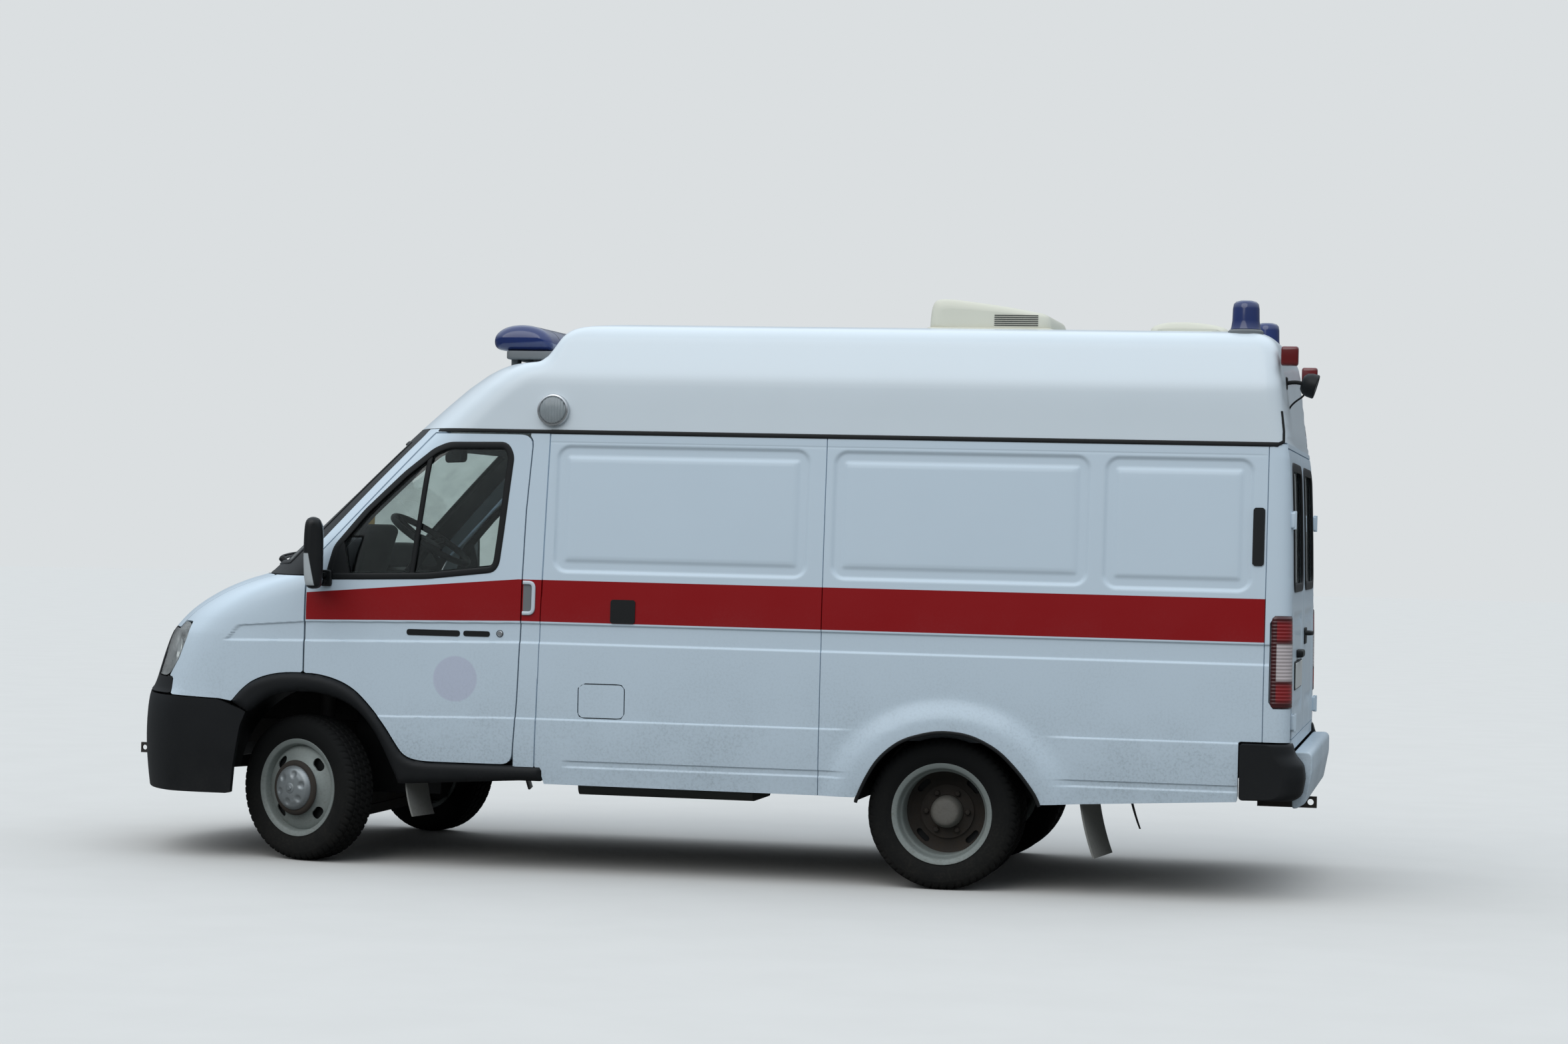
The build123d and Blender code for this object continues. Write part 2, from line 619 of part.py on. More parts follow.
def rim_barrel(y):
    """Rim's barrel with its two flanges, about the axle's line, as a turned outline."""
    half = RIM_WIDTH / 2
    outline = [
        (RIM_R, -half), (RIM_R, -half + 10), (204, -half + 12), (200, -20), (192, -10), (192, 14),
        (200, 26), (204, half - 12), (RIM_R, half - 10), (RIM_R, half), (196, half), (194, 30),
        (182, 18), (182, -16), (194, -28), (196, -half),
    ]
    face = outline_face(outline, lambda p: Vector(p[0], y + p[1], 0))
    turned = Solid.revolve(face, 360, Axis((0, 0, 0), (0, 1, 0)))
    return turned.translate(Vector(0, 0, AXLE_Z))


def slotted_disc(y0, y1, outer, bore, slots):
    """Wheel disc with four slots round its centre, each made of bores side by side."""
    slot_at, slot_r, spread = slots
    cuts = []
    for turn in SLOT_TURNS:
        for part in spread:
            angle = math.radians(turn + part)
            x, z = slot_at * math.cos(angle), AXLE_Z + slot_at * math.sin(angle)
            cuts.append(rod(slot_r, (x, y0 - 5, z), (x, y1 + 5, z)))
    return ring_y(bore, outer, 0, AXLE_Z, y0, y1) - join(*cuts)


def tyre_at(y):
    """Plain tyre: rounded shoulders and a flat tread, seated on the rim."""
    half = TYRE_WIDTH / 2
    bead = RIM_WIDTH / 2 - 12
    outline = [
        (205.5, 1 - bead), (221.5, -1 - bead), ((268, -half), (312, -half + 14)),
        ((325, -half + 24), (TYRE_R, -half + 40)), (TYRE_R, half - 40), ((325, half - 24), (312, half - 14)),
        ((268, half), (221.5, bead + 1)), (205.5, bead - 1),
    ]
    face = outline_face(outline, lambda p: Vector(p[0], y + p[1], 0))
    return Solid.revolve(face, 360, Axis((0, 0, 0), (0, 1, 0))).translate(Vector(0, 0, AXLE_Z))


def front_rim(side):
    """Front rim with its outward dished disc, hub and centre cover."""
    y = -FRONT_WHEEL_Y
    disc = slotted_disc(y - 58, y - 46, 198, 27 + BORE_GAP, FRONT_SLOTS)
    hub = ring_y(27 + BORE_GAP, 62, 0, AXLE_Z, y - 66, y + 30)
    cover = rod(78, (0, y - 84, AXLE_Z), (0, y - 71, AXLE_Z)) + ring_y(60, 78, 0, AXLE_Z, y - 84, y - 46)
    piece = join(rim_barrel(y), *disc.solids()) + hub + cover
    return steering_turn(piece if side < 0 else mirrored(piece), side)


def front_tyre(side):
    piece = join(tyre_at(-FRONT_WHEEL_Y))
    return steering_turn(piece if side < 0 else mirrored(piece), side)


def twin_rims(side):
    """Two rims bolted back to back on one hub: the outer one is deeply dished."""
    y_in, y_out = TWIN_Y
    middle = (y_in + y_out) / 2
    disc = slotted_disc(-middle - 9, -middle + 9, 190, 38 + BORE_GAP, TWIN_SLOTS)
    hub = ring_y(38 + BORE_GAP, 80, 0, AXLE_Z, -middle - 22, -middle + 40)
    end = rod(58, (0, -middle - 95, AXLE_Z), (0, -middle - 18, AXLE_Z))
    web = [ring_y(182, 190, 0, AXLE_Z, -y_out + 5, -y_in - 5)]
    piece = join(rim_barrel(-y_in), rim_barrel(-y_out)) + disc + hub + end + web
    piece = piece.translate(Vector(WHEELBASE, 0, 0))
    return piece if side < 0 else mirrored(piece)


def twin_tyres(side):
    piece = join(*[tyre_at(-y) for y in TWIN_Y]).translate(Vector(WHEELBASE, 0, 0))
    return piece if side < 0 else mirrored(piece)


DASHBOARD = [
    (-380, 1240), (-380, 1400), (-60, 1310), (110, 1296), (140, 1240), (60, 1010), (-90, 980), (-90, 1240),
]


def dashboard():
    return join(side_prism(DASHBOARD, -925, 925)) & envelope(60)


WHEEL_CENTRE, WHEEL_TILT = (395, -455, 1465), 58


def steering_wheel():
    """Rim on three spokes and a hub, on a column from the dashboard."""
    tilt = math.radians(WHEEL_TILT)
    axis = Vector(math.cos(tilt), 0, math.sin(tilt))
    centre = Vector(*WHEEL_CENTRE)
    rim = Solid.make_torus(200, 15, Plane(origin=centre, z_dir=axis))
    hub = rod(55, centre - axis * 45, centre - axis * 5)
    across, down = Vector(0, 1, 0), axis.cross(Vector(0, 1, 0))
    spokes = [rod(11, centre - axis * 25, centre + d * 196) for d in (across, -across, down)]
    column = rod(28, centre - axis * 330, centre - axis * 45)
    return join(rim) + hub + spokes + column - dashboard()


SEAT_Y, SEAT_HALF = (-465, 465), (250, 430)


def seat_frames():
    pieces = []
    for y, half in zip(SEAT_Y, SEAT_HALF):
        pieces.append(box(560, 900, y - half + 40, y + half - 40, CAB_FLOOR_Z + 1, 1075))
    return join(*pieces)


def seat_cushions():
    pieces = []
    for y, half in zip(SEAT_Y, SEAT_HALF):
        seat = box(520, 985, y - half, y + half, 1076, 1190)
        back = side_prism([(880, 1192), (985, 1192), (1088, 1760), (990, 1780)], y - half, y + half)
        pieces += [seat.fillet(28, seat.edges()), back]
        head = box(1010, 1090, y - 120, y + 120, 1795, 1925)
        pieces.append(head.fillet(25, head.edges()))
    return join(*pieces)


def lamp_bases():
    """Light bar tray on four feet, and the two beacon bases on the roof's rear edge."""
    (x0, x1), y = LIGHT_BAR_X, LIGHT_BAR_Y
    tray = box(x0 + 65, x1 + 20, -y + 5, y - 5, LIGHT_BAR_Z[0] - 40, LIGHT_BAR_Z[0])
    pieces = [tray.fillet(12, tray.edges().filter_by(Axis.Z))]
    for side in (-1, 1):
        for x in (800, 905):
            pieces.append(box(x - 18, x + 18, side * 500 - 40, side * 500 + 40, 2200, LIGHT_BAR_Z[0] - 40))
        pieces.append(rod(76, (BEACON_X, side * BEACON_Y, 2300), (BEACON_X, side * BEACON_Y, BEACON_FOOT_Z)))
    return join(*pieces) - OUTER


def blue_lamps():
    """Light bar with a rounded front and a sloping rear, and the two tapered beacons."""
    (x0, x1), y, (z0, z1) = LIGHT_BAR_X, LIGHT_BAR_Y, LIGHT_BAR_Z
    outline = [
        (x0 + 58, z0), (x1 - 34, z0), ((x1 - 10, z0 + 10), (x1, z0 + 34)),
        ((x1 - 25, z1 - 30), (x1 - 95, z1 - 6)), (x0 + 95, z1), ((x0 + 22, z1 - 22), (x0, z0 + 58)),
        ((x0 + 17, z0 + 17), (x0 + 58, z0)),
    ]
    pieces = [side_prism(outline, -y, y)]
    for side in (-1, 1):
        foot = Plane((BEACON_X, side * BEACON_Y, BEACON_FOOT_Z))
        beacon = Solid.make_cone(66, 58, BEACON_TOP_Z - BEACON_FOOT_Z, foot)
        pieces.append(beacon.fillet(12, beacon.edges().group_by(Axis.Z)[-1]))
    return join(*pieces)


def side_lamps():
    """Round lamp on each side of the roof, over the pillar behind the front door."""
    x, z, y = SIDE_LAMP_X, SIDE_LAMP_Z, SIDE_LAMP_Y
    lamp = rod(SIDE_LAMP_R, (x, -y, z), (x, -y + 60, z))
    lamp = lamp.fillet(14, lamp.edges().group_by(Axis.Y)[0])
    return both_sides(join(lamp) - OUTER)


def marker_lamps():
    """Red marker at each upper corner of the rear."""
    (y0, y1), (z0, z1) = MARKER_Y, MARKER_Z
    return both_sides(join(box(4290, MARKER_REAR_X, -y1, -y0, z0, z1)) - OUTER)


def work_lamp():
    """Lamp over the left rear door, tilted down on its bracket."""
    (x0, x1), y, z = WORK_LAMP_X, WORK_LAMP_Y, WORK_LAMP_Z
    head = rod(WORK_LAMP_R, (x0, y, z + 12), (x1, y, z - 12))
    bracket = rod(13, (x0 - 90, y, z), (x0 + 30, y, z))
    return (join(head) + bracket) - OUTER


def roof_units():
    """Air unit with its sloping rear, and the low vent dome."""
    (x0, x1), y = AIR_UNIT_X, AIR_UNIT_Y
    top = AIR_UNIT_TOP_Z
    unit = side_prism([
        (x0, 2440), (x0 + 4, 2540), (x0 + 18, top - 14), (x0 + 45, top), (x0 + 130, top - 4),
        (x0 + 330, top - 30), (x1 - 35, top - 62), (x1, top - 100), (x1 + 5, 2440)], -y, y)
    unit = unit.fillet(30, unit.edges().filter_by(Plane.XZ).filter_by(lambda e: e.center().Z > 2530))
    (v0, v1), v = VENT_X, VENT_Y
    dome = side_prism([
        (v0, 2440), (v0 + 5, VENT_TOP_Z - 22), ((v0 + 160, VENT_TOP_Z), (v1 - 6, VENT_TOP_Z - 26)),
        (v1, 2440)], -v, v)
    return join(unit, dome) - OUTER


SIDES = {"left": -1, "right": 1}


def pieces():
    """Every node's name and solids, in the axle's frame."""
    yield "chassis", chassis()
    yield "floors", floors()
    yield "side_left", side_left()
    yield "side_right", side_right()
    yield "sliding_door", sliding_door()
    yield "roof_cap", roof_cap()
    yield "cab_frame", cab_frame()
    yield "windscreen", windscreen()
    yield "wings", wings()
    yield "front_bumper", front_bumper()
    yield "grille", grille()
    yield "headlamps", headlamps()
    yield "trim", trim()
    yield "rear_frame", rear_frame()
    yield "rear_bumper", rear_bumper()
    yield "bumper_corners", bumper_corners()
    yield "tail_lamps", tail_lamps()
    yield "lamp_bases", lamp_bases()
    yield "blue_lamps", blue_lamps()
    yield "roof_units", roof_units()
    yield "side_lamps", side_lamps()
    yield "marker_lamps", marker_lamps()
    yield "work_lamp", work_lamp()
    yield "bulkhead", bulkhead()
    yield "dashboard", dashboard()
    yield "steering_wheel", steering_wheel()
    yield "seat_frames", seat_frames()
    yield "seat_cushions", seat_cushions()
    yield "engine", engine()
    yield "front_axle", front_axle()
    yield "rear_axle", rear_axle()
    yield "underbody", underbody()
    yield "bonnet", bonnet()
    yield "fuel_flap", fuel_flap()
    doors = {
        "door": front_door(), "door_glass": front_door_glass(), "mirror": mirror(),
        "rear_door": rear_door(), "rear_door_glass": rear_door_glass(),
    }
    for name, piece in doors.items():
        yield name + "_left", piece
        yield name + "_right", mirrored(piece)
    for name, side in SIDES.items():
        yield "knuckle_" + name, knuckle(side)
        yield "front_rim_" + name, front_rim(side)
        yield "front_tyre_" + name, front_tyre(side)
        yield "twin_rims_" + name, twin_rims(side)
        yield "twin_tyres_" + name, twin_tyres(side)


def main():
    os.makedirs("parts", exist_ok=True)
    for name, piece in pieces():
        moved = piece.translate(Vector(-MIDDLE_X, 0, 0))
        export_step(moved, "parts/" + name + ".step")


main()
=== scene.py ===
import json
import math

import bpy
import numpy as np
from mathutils import Matrix, Vector


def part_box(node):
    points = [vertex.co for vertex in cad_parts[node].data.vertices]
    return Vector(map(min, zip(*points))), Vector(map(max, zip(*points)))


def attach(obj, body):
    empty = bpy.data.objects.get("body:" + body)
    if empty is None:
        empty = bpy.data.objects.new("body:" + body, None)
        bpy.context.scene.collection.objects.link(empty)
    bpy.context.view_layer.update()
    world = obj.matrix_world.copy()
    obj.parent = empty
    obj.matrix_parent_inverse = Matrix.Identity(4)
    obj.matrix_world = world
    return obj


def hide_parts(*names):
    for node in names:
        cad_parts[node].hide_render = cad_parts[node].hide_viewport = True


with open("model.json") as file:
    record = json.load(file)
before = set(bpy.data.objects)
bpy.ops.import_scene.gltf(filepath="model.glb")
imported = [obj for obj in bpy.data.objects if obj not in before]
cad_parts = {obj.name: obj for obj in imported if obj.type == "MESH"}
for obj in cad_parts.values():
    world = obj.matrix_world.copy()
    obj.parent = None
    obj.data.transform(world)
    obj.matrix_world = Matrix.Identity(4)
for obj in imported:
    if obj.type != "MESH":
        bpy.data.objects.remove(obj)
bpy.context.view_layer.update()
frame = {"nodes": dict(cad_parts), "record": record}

# High-roof ambulance van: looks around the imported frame.
# Lengths are millimetres in the axle's frame: X to the rear from the front axle, Y to the right, Z up.
# ORIGIN_X moves them to the row's frame, whose origin is under the middle of the length.

MM = 0.001
WHEELBASE = 2900
REAR_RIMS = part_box("twin_rims_left")
ORIGIN_X = (REAR_RIMS[0].x + REAR_RIMS[1].x) / 2 / MM - WHEELBASE

GUTTER_Z = 1961
SILL_Z = 398
AXLE_Z = 330
FRONT_WHEEL_Y, KINGPIN_Y, STEER_DEG = 850, 760, 22
TWIN_Y = (680, 890)
SIDES = (-1, 1)
# Views, as the two coordinates that each shows
SIDE_VIEW, FRONT_VIEW, TOP_VIEW = (0, 2), (1, 2), (0, 1)


def side_name(side):
    """Word for a side: -1 is the left one and 1 the right one."""
    return "left" if side < 0 else "right"


# Finishes


def linear(rgb):
    """Screen colour, 0 to 255, as scene-linear red, green, blue and one."""
    c = np.array(rgb, float) / 255
    return tuple(np.where(c > 0.04045, ((c + 0.055) / 1.055) ** 2.4, c / 12.92)) + (1.0,)


def effect_group(name, inputs, outputs):
    """Empty node group with named float or colour inputs and outputs; returns it with its two ends."""
    group = bpy.data.node_groups.new(name, "ShaderNodeTree")
    for label, kind, value in inputs:
        socket = group.interface.new_socket(name=label, in_out="INPUT", socket_type=kind)
        socket.default_value = value
    for label, kind in outputs:
        group.interface.new_socket(name=label, in_out="OUTPUT", socket_type=kind)
    return group, group.nodes.new("NodeGroupInput"), group.nodes.new("NodeGroupOutput")


def feed(tree, socket, value):
    """Links a socket to another one, or sets it to a number or colour."""
    if isinstance(value, bpy.types.NodeSocket):
        tree.links.new(value, socket)
    else:
        socket.default_value = value


def noise(tree, place, scale, detail, roughness=0.55):
    """Cloudy noise over a place."""
    node = tree.nodes.new("ShaderNodeTexNoise")
    for label, value in (("Vector", place), ("Scale", scale), ("Detail", detail), ("Roughness", roughness)):
        feed(tree, node.inputs[label], value)
    return node.outputs[0]


def math_node(tree, operation, first, second=None, clamp=False):
    """Result of one operation on numbers or sockets."""
    node = tree.nodes.new("ShaderNodeMath")
    node.operation = operation
    node.use_clamp = clamp
    feed(tree, node.inputs[0], first)
    if second is not None:
        feed(tree, node.inputs[1], second)
    return node.outputs[0]


def product(tree, *values):
    """Product of numbers and sockets."""
    result = values[0]
    for value in values[1:]:
        result = math_node(tree, "MULTIPLY", result, value)
    return result


def map_range(tree, value, low, high, new_low=0.0, new_high=1.0):
    """Value from low to high, eased into new_low to new_high."""
    node = tree.nodes.new("ShaderNodeMapRange")
    node.interpolation_type = "SMOOTHSTEP"
    labels = ("Value", "From Min", "From Max", "To Min", "To Max")
    for label, number in zip(labels, (value, low, high, new_low, new_high)):
        feed(tree, node.inputs[label], number)
    return node.outputs["Result"]


def mix_colour(tree, amount, first, second):
    """Colour that goes from the first to the second as the amount goes from zero to one."""
    node = tree.nodes.new("ShaderNodeMix")
    node.data_type = "RGBA"
    for socket, value in zip((node.inputs[0], node.inputs[6], node.inputs[7]), (amount, first, second)):
        feed(tree, socket, value)
    return node.outputs[2]


def object_place(tree):
    """Object coordinates, in metres in the row's frame."""
    return tree.nodes.new("ShaderNodeTexCoord").outputs["Object"]


def axes_of(tree, place):
    """The three coordinates of a place."""
    apart = tree.nodes.new("ShaderNodeSeparateXYZ")
    tree.links.new(place, apart.inputs[0])
    return apart.outputs


def add_relief(tree, height, strength, distance):
    """Turns the Principled shader's normal by a height."""
    relief = tree.nodes.new("ShaderNodeBump")
    relief.inputs["Strength"].default_value = strength
    relief.inputs["Distance"].default_value = distance
    tree.links.new(height, relief.inputs["Height"])
    tree.links.new(relief.outputs[0], tree.nodes["Principled BSDF"].inputs["Normal"])


def new_material(name):
    """Material with its node tree and its Principled shader."""
    material = bpy.data.materials.new(name)
    material.use_nodes = True
    return material, material.node_tree, material.node_tree.nodes["Principled BSDF"]


ROAD_DUST = (96, 92, 84)


def build_wear_and_shade_group():
    """Two-scale cloudiness in colour and roughness, with specks of grime and a darkening low down: road dust on most
    finishes, painted shade on the body's white, darker towards the bottom where the sides face the ground.
    """
    colour, number = "NodeSocketColor", "NodeSocketFloat"
    group, ins, outs = effect_group(
        "wear_and_shade",
        [("Colour", colour, (1, 1, 1, 1)), ("Grime And Shade Colour", colour, linear(ROAD_DUST)), ("Vary", number, 0.06),
         ("Grime And Shade", number, 0.2), ("Grime And Shade Top", number, 0.75), ("Roughness", number, 0.4), ("Scale", number, 3.0)],
        [("Colour", colour), ("Roughness", number), ("Height", number)])
    place = object_place(group)
    broad = noise(group, place, ins.outputs["Scale"], 3.0)
    fine = noise(group, place, 90.0, 5.0, 0.65)
    cloud = math_node(group, "SUBTRACT", broad, 0.5)
    tone = group.nodes.new("ShaderNodeVectorMath")
    tone.operation = "SCALE"
    group.links.new(ins.outputs["Colour"], tone.inputs[0])
    bright = math_node(group, "ADD", product(group, cloud, ins.outputs["Vary"]), 1.0)
    group.links.new(bright, tone.inputs["Scale"])
    # Darkening towards the bottom: road dust on most finishes, painted shade on the body's white.
    low = map_range(group, axes_of(group, place)[2], 0.12, ins.outputs["Grime And Shade Top"], 1.0, 0.0)
    patch = map_range(group, broad, 0.3, 0.75, 0.35, 1.0)
    specks = math_node(group, "ADD", product(group, map_range(group, fine, 0.42, 0.72), 0.6), 0.4)
    grime_and_shade = math_node(group, "MULTIPLY", product(group, low, patch, specks), ins.outputs["Grime And Shade"], clamp=True)
    group.links.new(mix_colour(group, grime_and_shade, tone.outputs[0], ins.outputs["Grime And Shade Colour"]), outs.inputs["Colour"])
    gloss = math_node(group, "ADD", ins.outputs["Roughness"], product(group, grime_and_shade, 0.5))
    gloss = math_node(group, "ADD", gloss, product(group, cloud, 0.12), clamp=True)
    group.links.new(gloss, outs.inputs["Roughness"])
    group.links.new(fine, outs.inputs["Height"])
    return group


WEAR_AND_SHADE = build_wear_and_shade_group()
COAT_ROUGHNESS = 0.06
GRAIN_DEPTH = 1.5


def finish_of(name, colour, roughness=0.4, metallic=0.0, coat=0.0, vary=0.06, grime_and_shade=0.15, grime_and_shade_top=0.7,
              bump=0.0, scale=3.0, grime_and_shade_colour=ROAD_DUST, specular=0.5):
    """Principled finish whose colour and gloss come from the shared cloudiness and grime group; on the body's white
    its low darkening is painted shade.
    """
    material, tree, shader = new_material(name)
    wear_shade_node = tree.nodes.new("ShaderNodeGroup")
    wear_shade_node.node_tree = WEAR_AND_SHADE
    for label, value in (("Colour", linear(colour)), ("Grime And Shade Colour", linear(grime_and_shade_colour)), ("Vary", vary),
                         ("Grime And Shade", grime_and_shade), ("Grime And Shade Top", grime_and_shade_top), ("Roughness", roughness), ("Scale", scale)):
        wear_shade_node.inputs[label].default_value = value
    for label, value in (("Metallic", metallic), ("Coat Weight", coat), ("Coat Roughness", COAT_ROUGHNESS),
                         ("Specular IOR Level", specular)):
        shader.inputs[label].default_value = value
    tree.links.new(wear_shade_node.outputs["Colour"], shader.inputs["Base Color"])
    tree.links.new(wear_shade_node.outputs["Roughness"], shader.inputs["Roughness"])
    if bump:
        add_relief(tree, wear_shade_node.outputs["Height"], bump, GRAIN_DEPTH * MM)
    return material


def repaint(material, mask, colour):
    """Lays a colour over a finish where the mask is one, under the same grime and the same painted shade, where the
    finish has it.
    """
    tree = material.node_tree
    group = next(node for node in tree.nodes if node.type == "GROUP")
    links = group.inputs["Colour"].links
    before = links[0].from_socket if links else tuple(group.inputs["Colour"].default_value)
    tree.links.new(mix_colour(tree, mask, before, linear(colour)), group.inputs["Colour"])


def row_x(x):
    """X of the axle's frame in millimetres, as X of the row's frame in metres."""
    return (x + ORIGIN_X) * MM


def between(tree, value, low, high, soft=0.0006):
    """One where the value lies between low and high, with soft edges."""
    rise = map_range(tree, math_node(tree, "SUBTRACT", value, low), -soft, soft)
    fall = map_range(tree, math_node(tree, "SUBTRACT", high, value), -soft, soft)
    return product(tree, rise, fall)


def beyond(tree, y, start, end):
    """Rises from zero to one where the distance from the middle plane goes from start to end."""
    return map_range(tree, math_node(tree, "ABSOLUTE", y), start * MM, end * MM)


STRIPE_X, STRIPE_Z = (-2, 4278), (1117, 1302)
STRIPE_FRONT_Z, STRIPE_SLOPE_X = (1096, 1219), 985
PATCH_X, PATCH_Z, PATCH_RADIUS, PATCH_STRENGTH = 704, 851, 102, 0.3


def striped_paint():
    """Body white with the deep red side stripe, which narrows along the front door, and the door's faded round patch.
    The blue-grey darkening low down on it is painted shade, with specks of grime."""
    # Painted shade: the blue-grey (118, 130, 134) darkens the white up to 1.34 m, most near the bottom, as the shade
    # on sides that face the ground; the specks in it are grime.
    material = finish_of("body_paint", (208, 223, 234), roughness=0.34, coat=0.2, vary=0.035, grime_and_shade=0.66,
                         grime_and_shade_top=1.34, grime_and_shade_colour=(118, 130, 134), specular=0.26)
    tree = material.node_tree
    x, y, z = axes_of(tree, object_place(tree))
    edges = [map_range(tree, x, row_x(0), row_x(STRIPE_SLOPE_X), front * MM, rear * MM)
             for front, rear in zip(STRIPE_FRONT_Z, STRIPE_Z)]
    for socket in edges:
        socket.node.interpolation_type = "LINEAR"
    outside = beyond(tree, y, 985, 995)
    in_x = between(tree, x, row_x(STRIPE_X[0]), row_x(STRIPE_X[1]))
    repaint(material, product(tree, between(tree, z, *edges), in_x, outside), (148, 8, 15))
    offsets = math_node(tree, "SUBTRACT", x, row_x(PATCH_X)), math_node(tree, "SUBTRACT", z, PATCH_Z * MM)
    squares = [product(tree, offset, offset) for offset in offsets]
    far = math_node(tree, "SQRT", math_node(tree, "ADD", *squares))
    patch = map_range(tree, far, (PATCH_RADIUS - 6) * MM, (PATCH_RADIUS + 4) * MM, PATCH_STRENGTH, 0.0)
    repaint(material, product(tree, patch, outside), (176, 158, 196))
    return material


def add_ribs(material, axis, pitch, depth):
    """Fine ribs across one of the object's axes, as a sine wave's bump."""
    tree = material.node_tree
    value = axes_of(tree, object_place(tree))[axis]
    wave = math_node(tree, "SINE", product(tree, value, 2 * math.pi / (pitch * MM)))
    add_relief(tree, wave, 1.0, depth * MM)


TAIL_CLEAR_X, TAIL_CLEAR_Z = 4330, (955, 1112)
TAIL_BULBS_Z = ((868, 940), (1128, 1206))


def tail_lens():
    """Dark red lens, brighter over its two bulbs, with a clear ribbed middle towards the rear."""
    material = finish_of("tail_lens", (66, 8, 11), roughness=0.22, coat=0.35, vary=0.3, grime_and_shade=0.05, scale=9.0)
    tree = material.node_tree
    x, _, z = axes_of(tree, object_place(tree))
    behind = map_range(tree, x, row_x(TAIL_CLEAR_X - 2), row_x(TAIL_CLEAR_X + 3))
    for low, high in TAIL_BULBS_Z:
        bright = product(tree, between(tree, z, low * MM, high * MM, 0.014), behind)
        repaint(material, bright, (136, 14, 18))
    low, high = TAIL_CLEAR_Z
    clear = product(tree, between(tree, z, low * MM, high * MM, 0.003), behind)
    repaint(material, clear, (190, 180, 180))
    add_ribs(material, 2, 15, 0.8)
    return material


MIRROR_LAMP_X, MIRROR_LAMP_Z, MIRROR_LAMP_LEAN = (-40, 106), (1254, 1396), 0.2


def mirror_black():
    """Black housing with the clear lamp low at its front and outer corner: a wedge that ends in a point."""
    material = finish_of("mirror_black", (22, 24, 25), roughness=0.4, vary=0.25, grime_and_shade=0.0, scale=9.0,
                         specular=0.35)
    tree = material.node_tree
    x, y, z = axes_of(tree, object_place(tree))
    front, rear = MIRROR_LAMP_X
    low, high = MIRROR_LAMP_Z
    lean = product(tree, math_node(tree, "SUBTRACT", z, (low + 2) * MM), MIRROR_LAMP_LEAN)
    inner_x = math_node(tree, "SUBTRACT", row_x(rear), lean)
    in_z = between(tree, z, low * MM, high * MM, 0.002)
    in_x = between(tree, x, row_x(front), inner_x, 0.002)
    mask = product(tree, in_z, in_x, beyond(tree, y, 1140, 1144))
    repaint(material, mask, (186, 192, 194))
    return material


def ribbed_lens():
    """Clear lens with upright ribs."""
    material = finish_of("ribbed_lens", (150, 158, 161), roughness=0.25, coat=0.5, vary=0.3, grime_and_shade=0.1, scale=16.0)
    add_ribs(material, 0, 13, 1.6)
    return material


def glass_of(name, colour, roughness=0.0):
    """Clear or tinted glass with a thin cloudy film."""
    material, tree, shader = new_material(name)
    shader.inputs["Transmission Weight"].default_value = 1.0
    shader.inputs["IOR"].default_value = 1.45
    film = noise(tree, object_place(tree), 7.0, 5.0)
    tint = linear(colour)
    deep = tuple(0.86 * c for c in tint[:3]) + (1.0,)
    tree.links.new(mix_colour(tree, map_range(tree, film, 0.3, 0.8), tint, deep), shader.inputs["Base Color"])
    tree.links.new(map_range(tree, film, 0.35, 0.9, roughness, roughness + 0.05), shader.inputs["Roughness"])
    return material


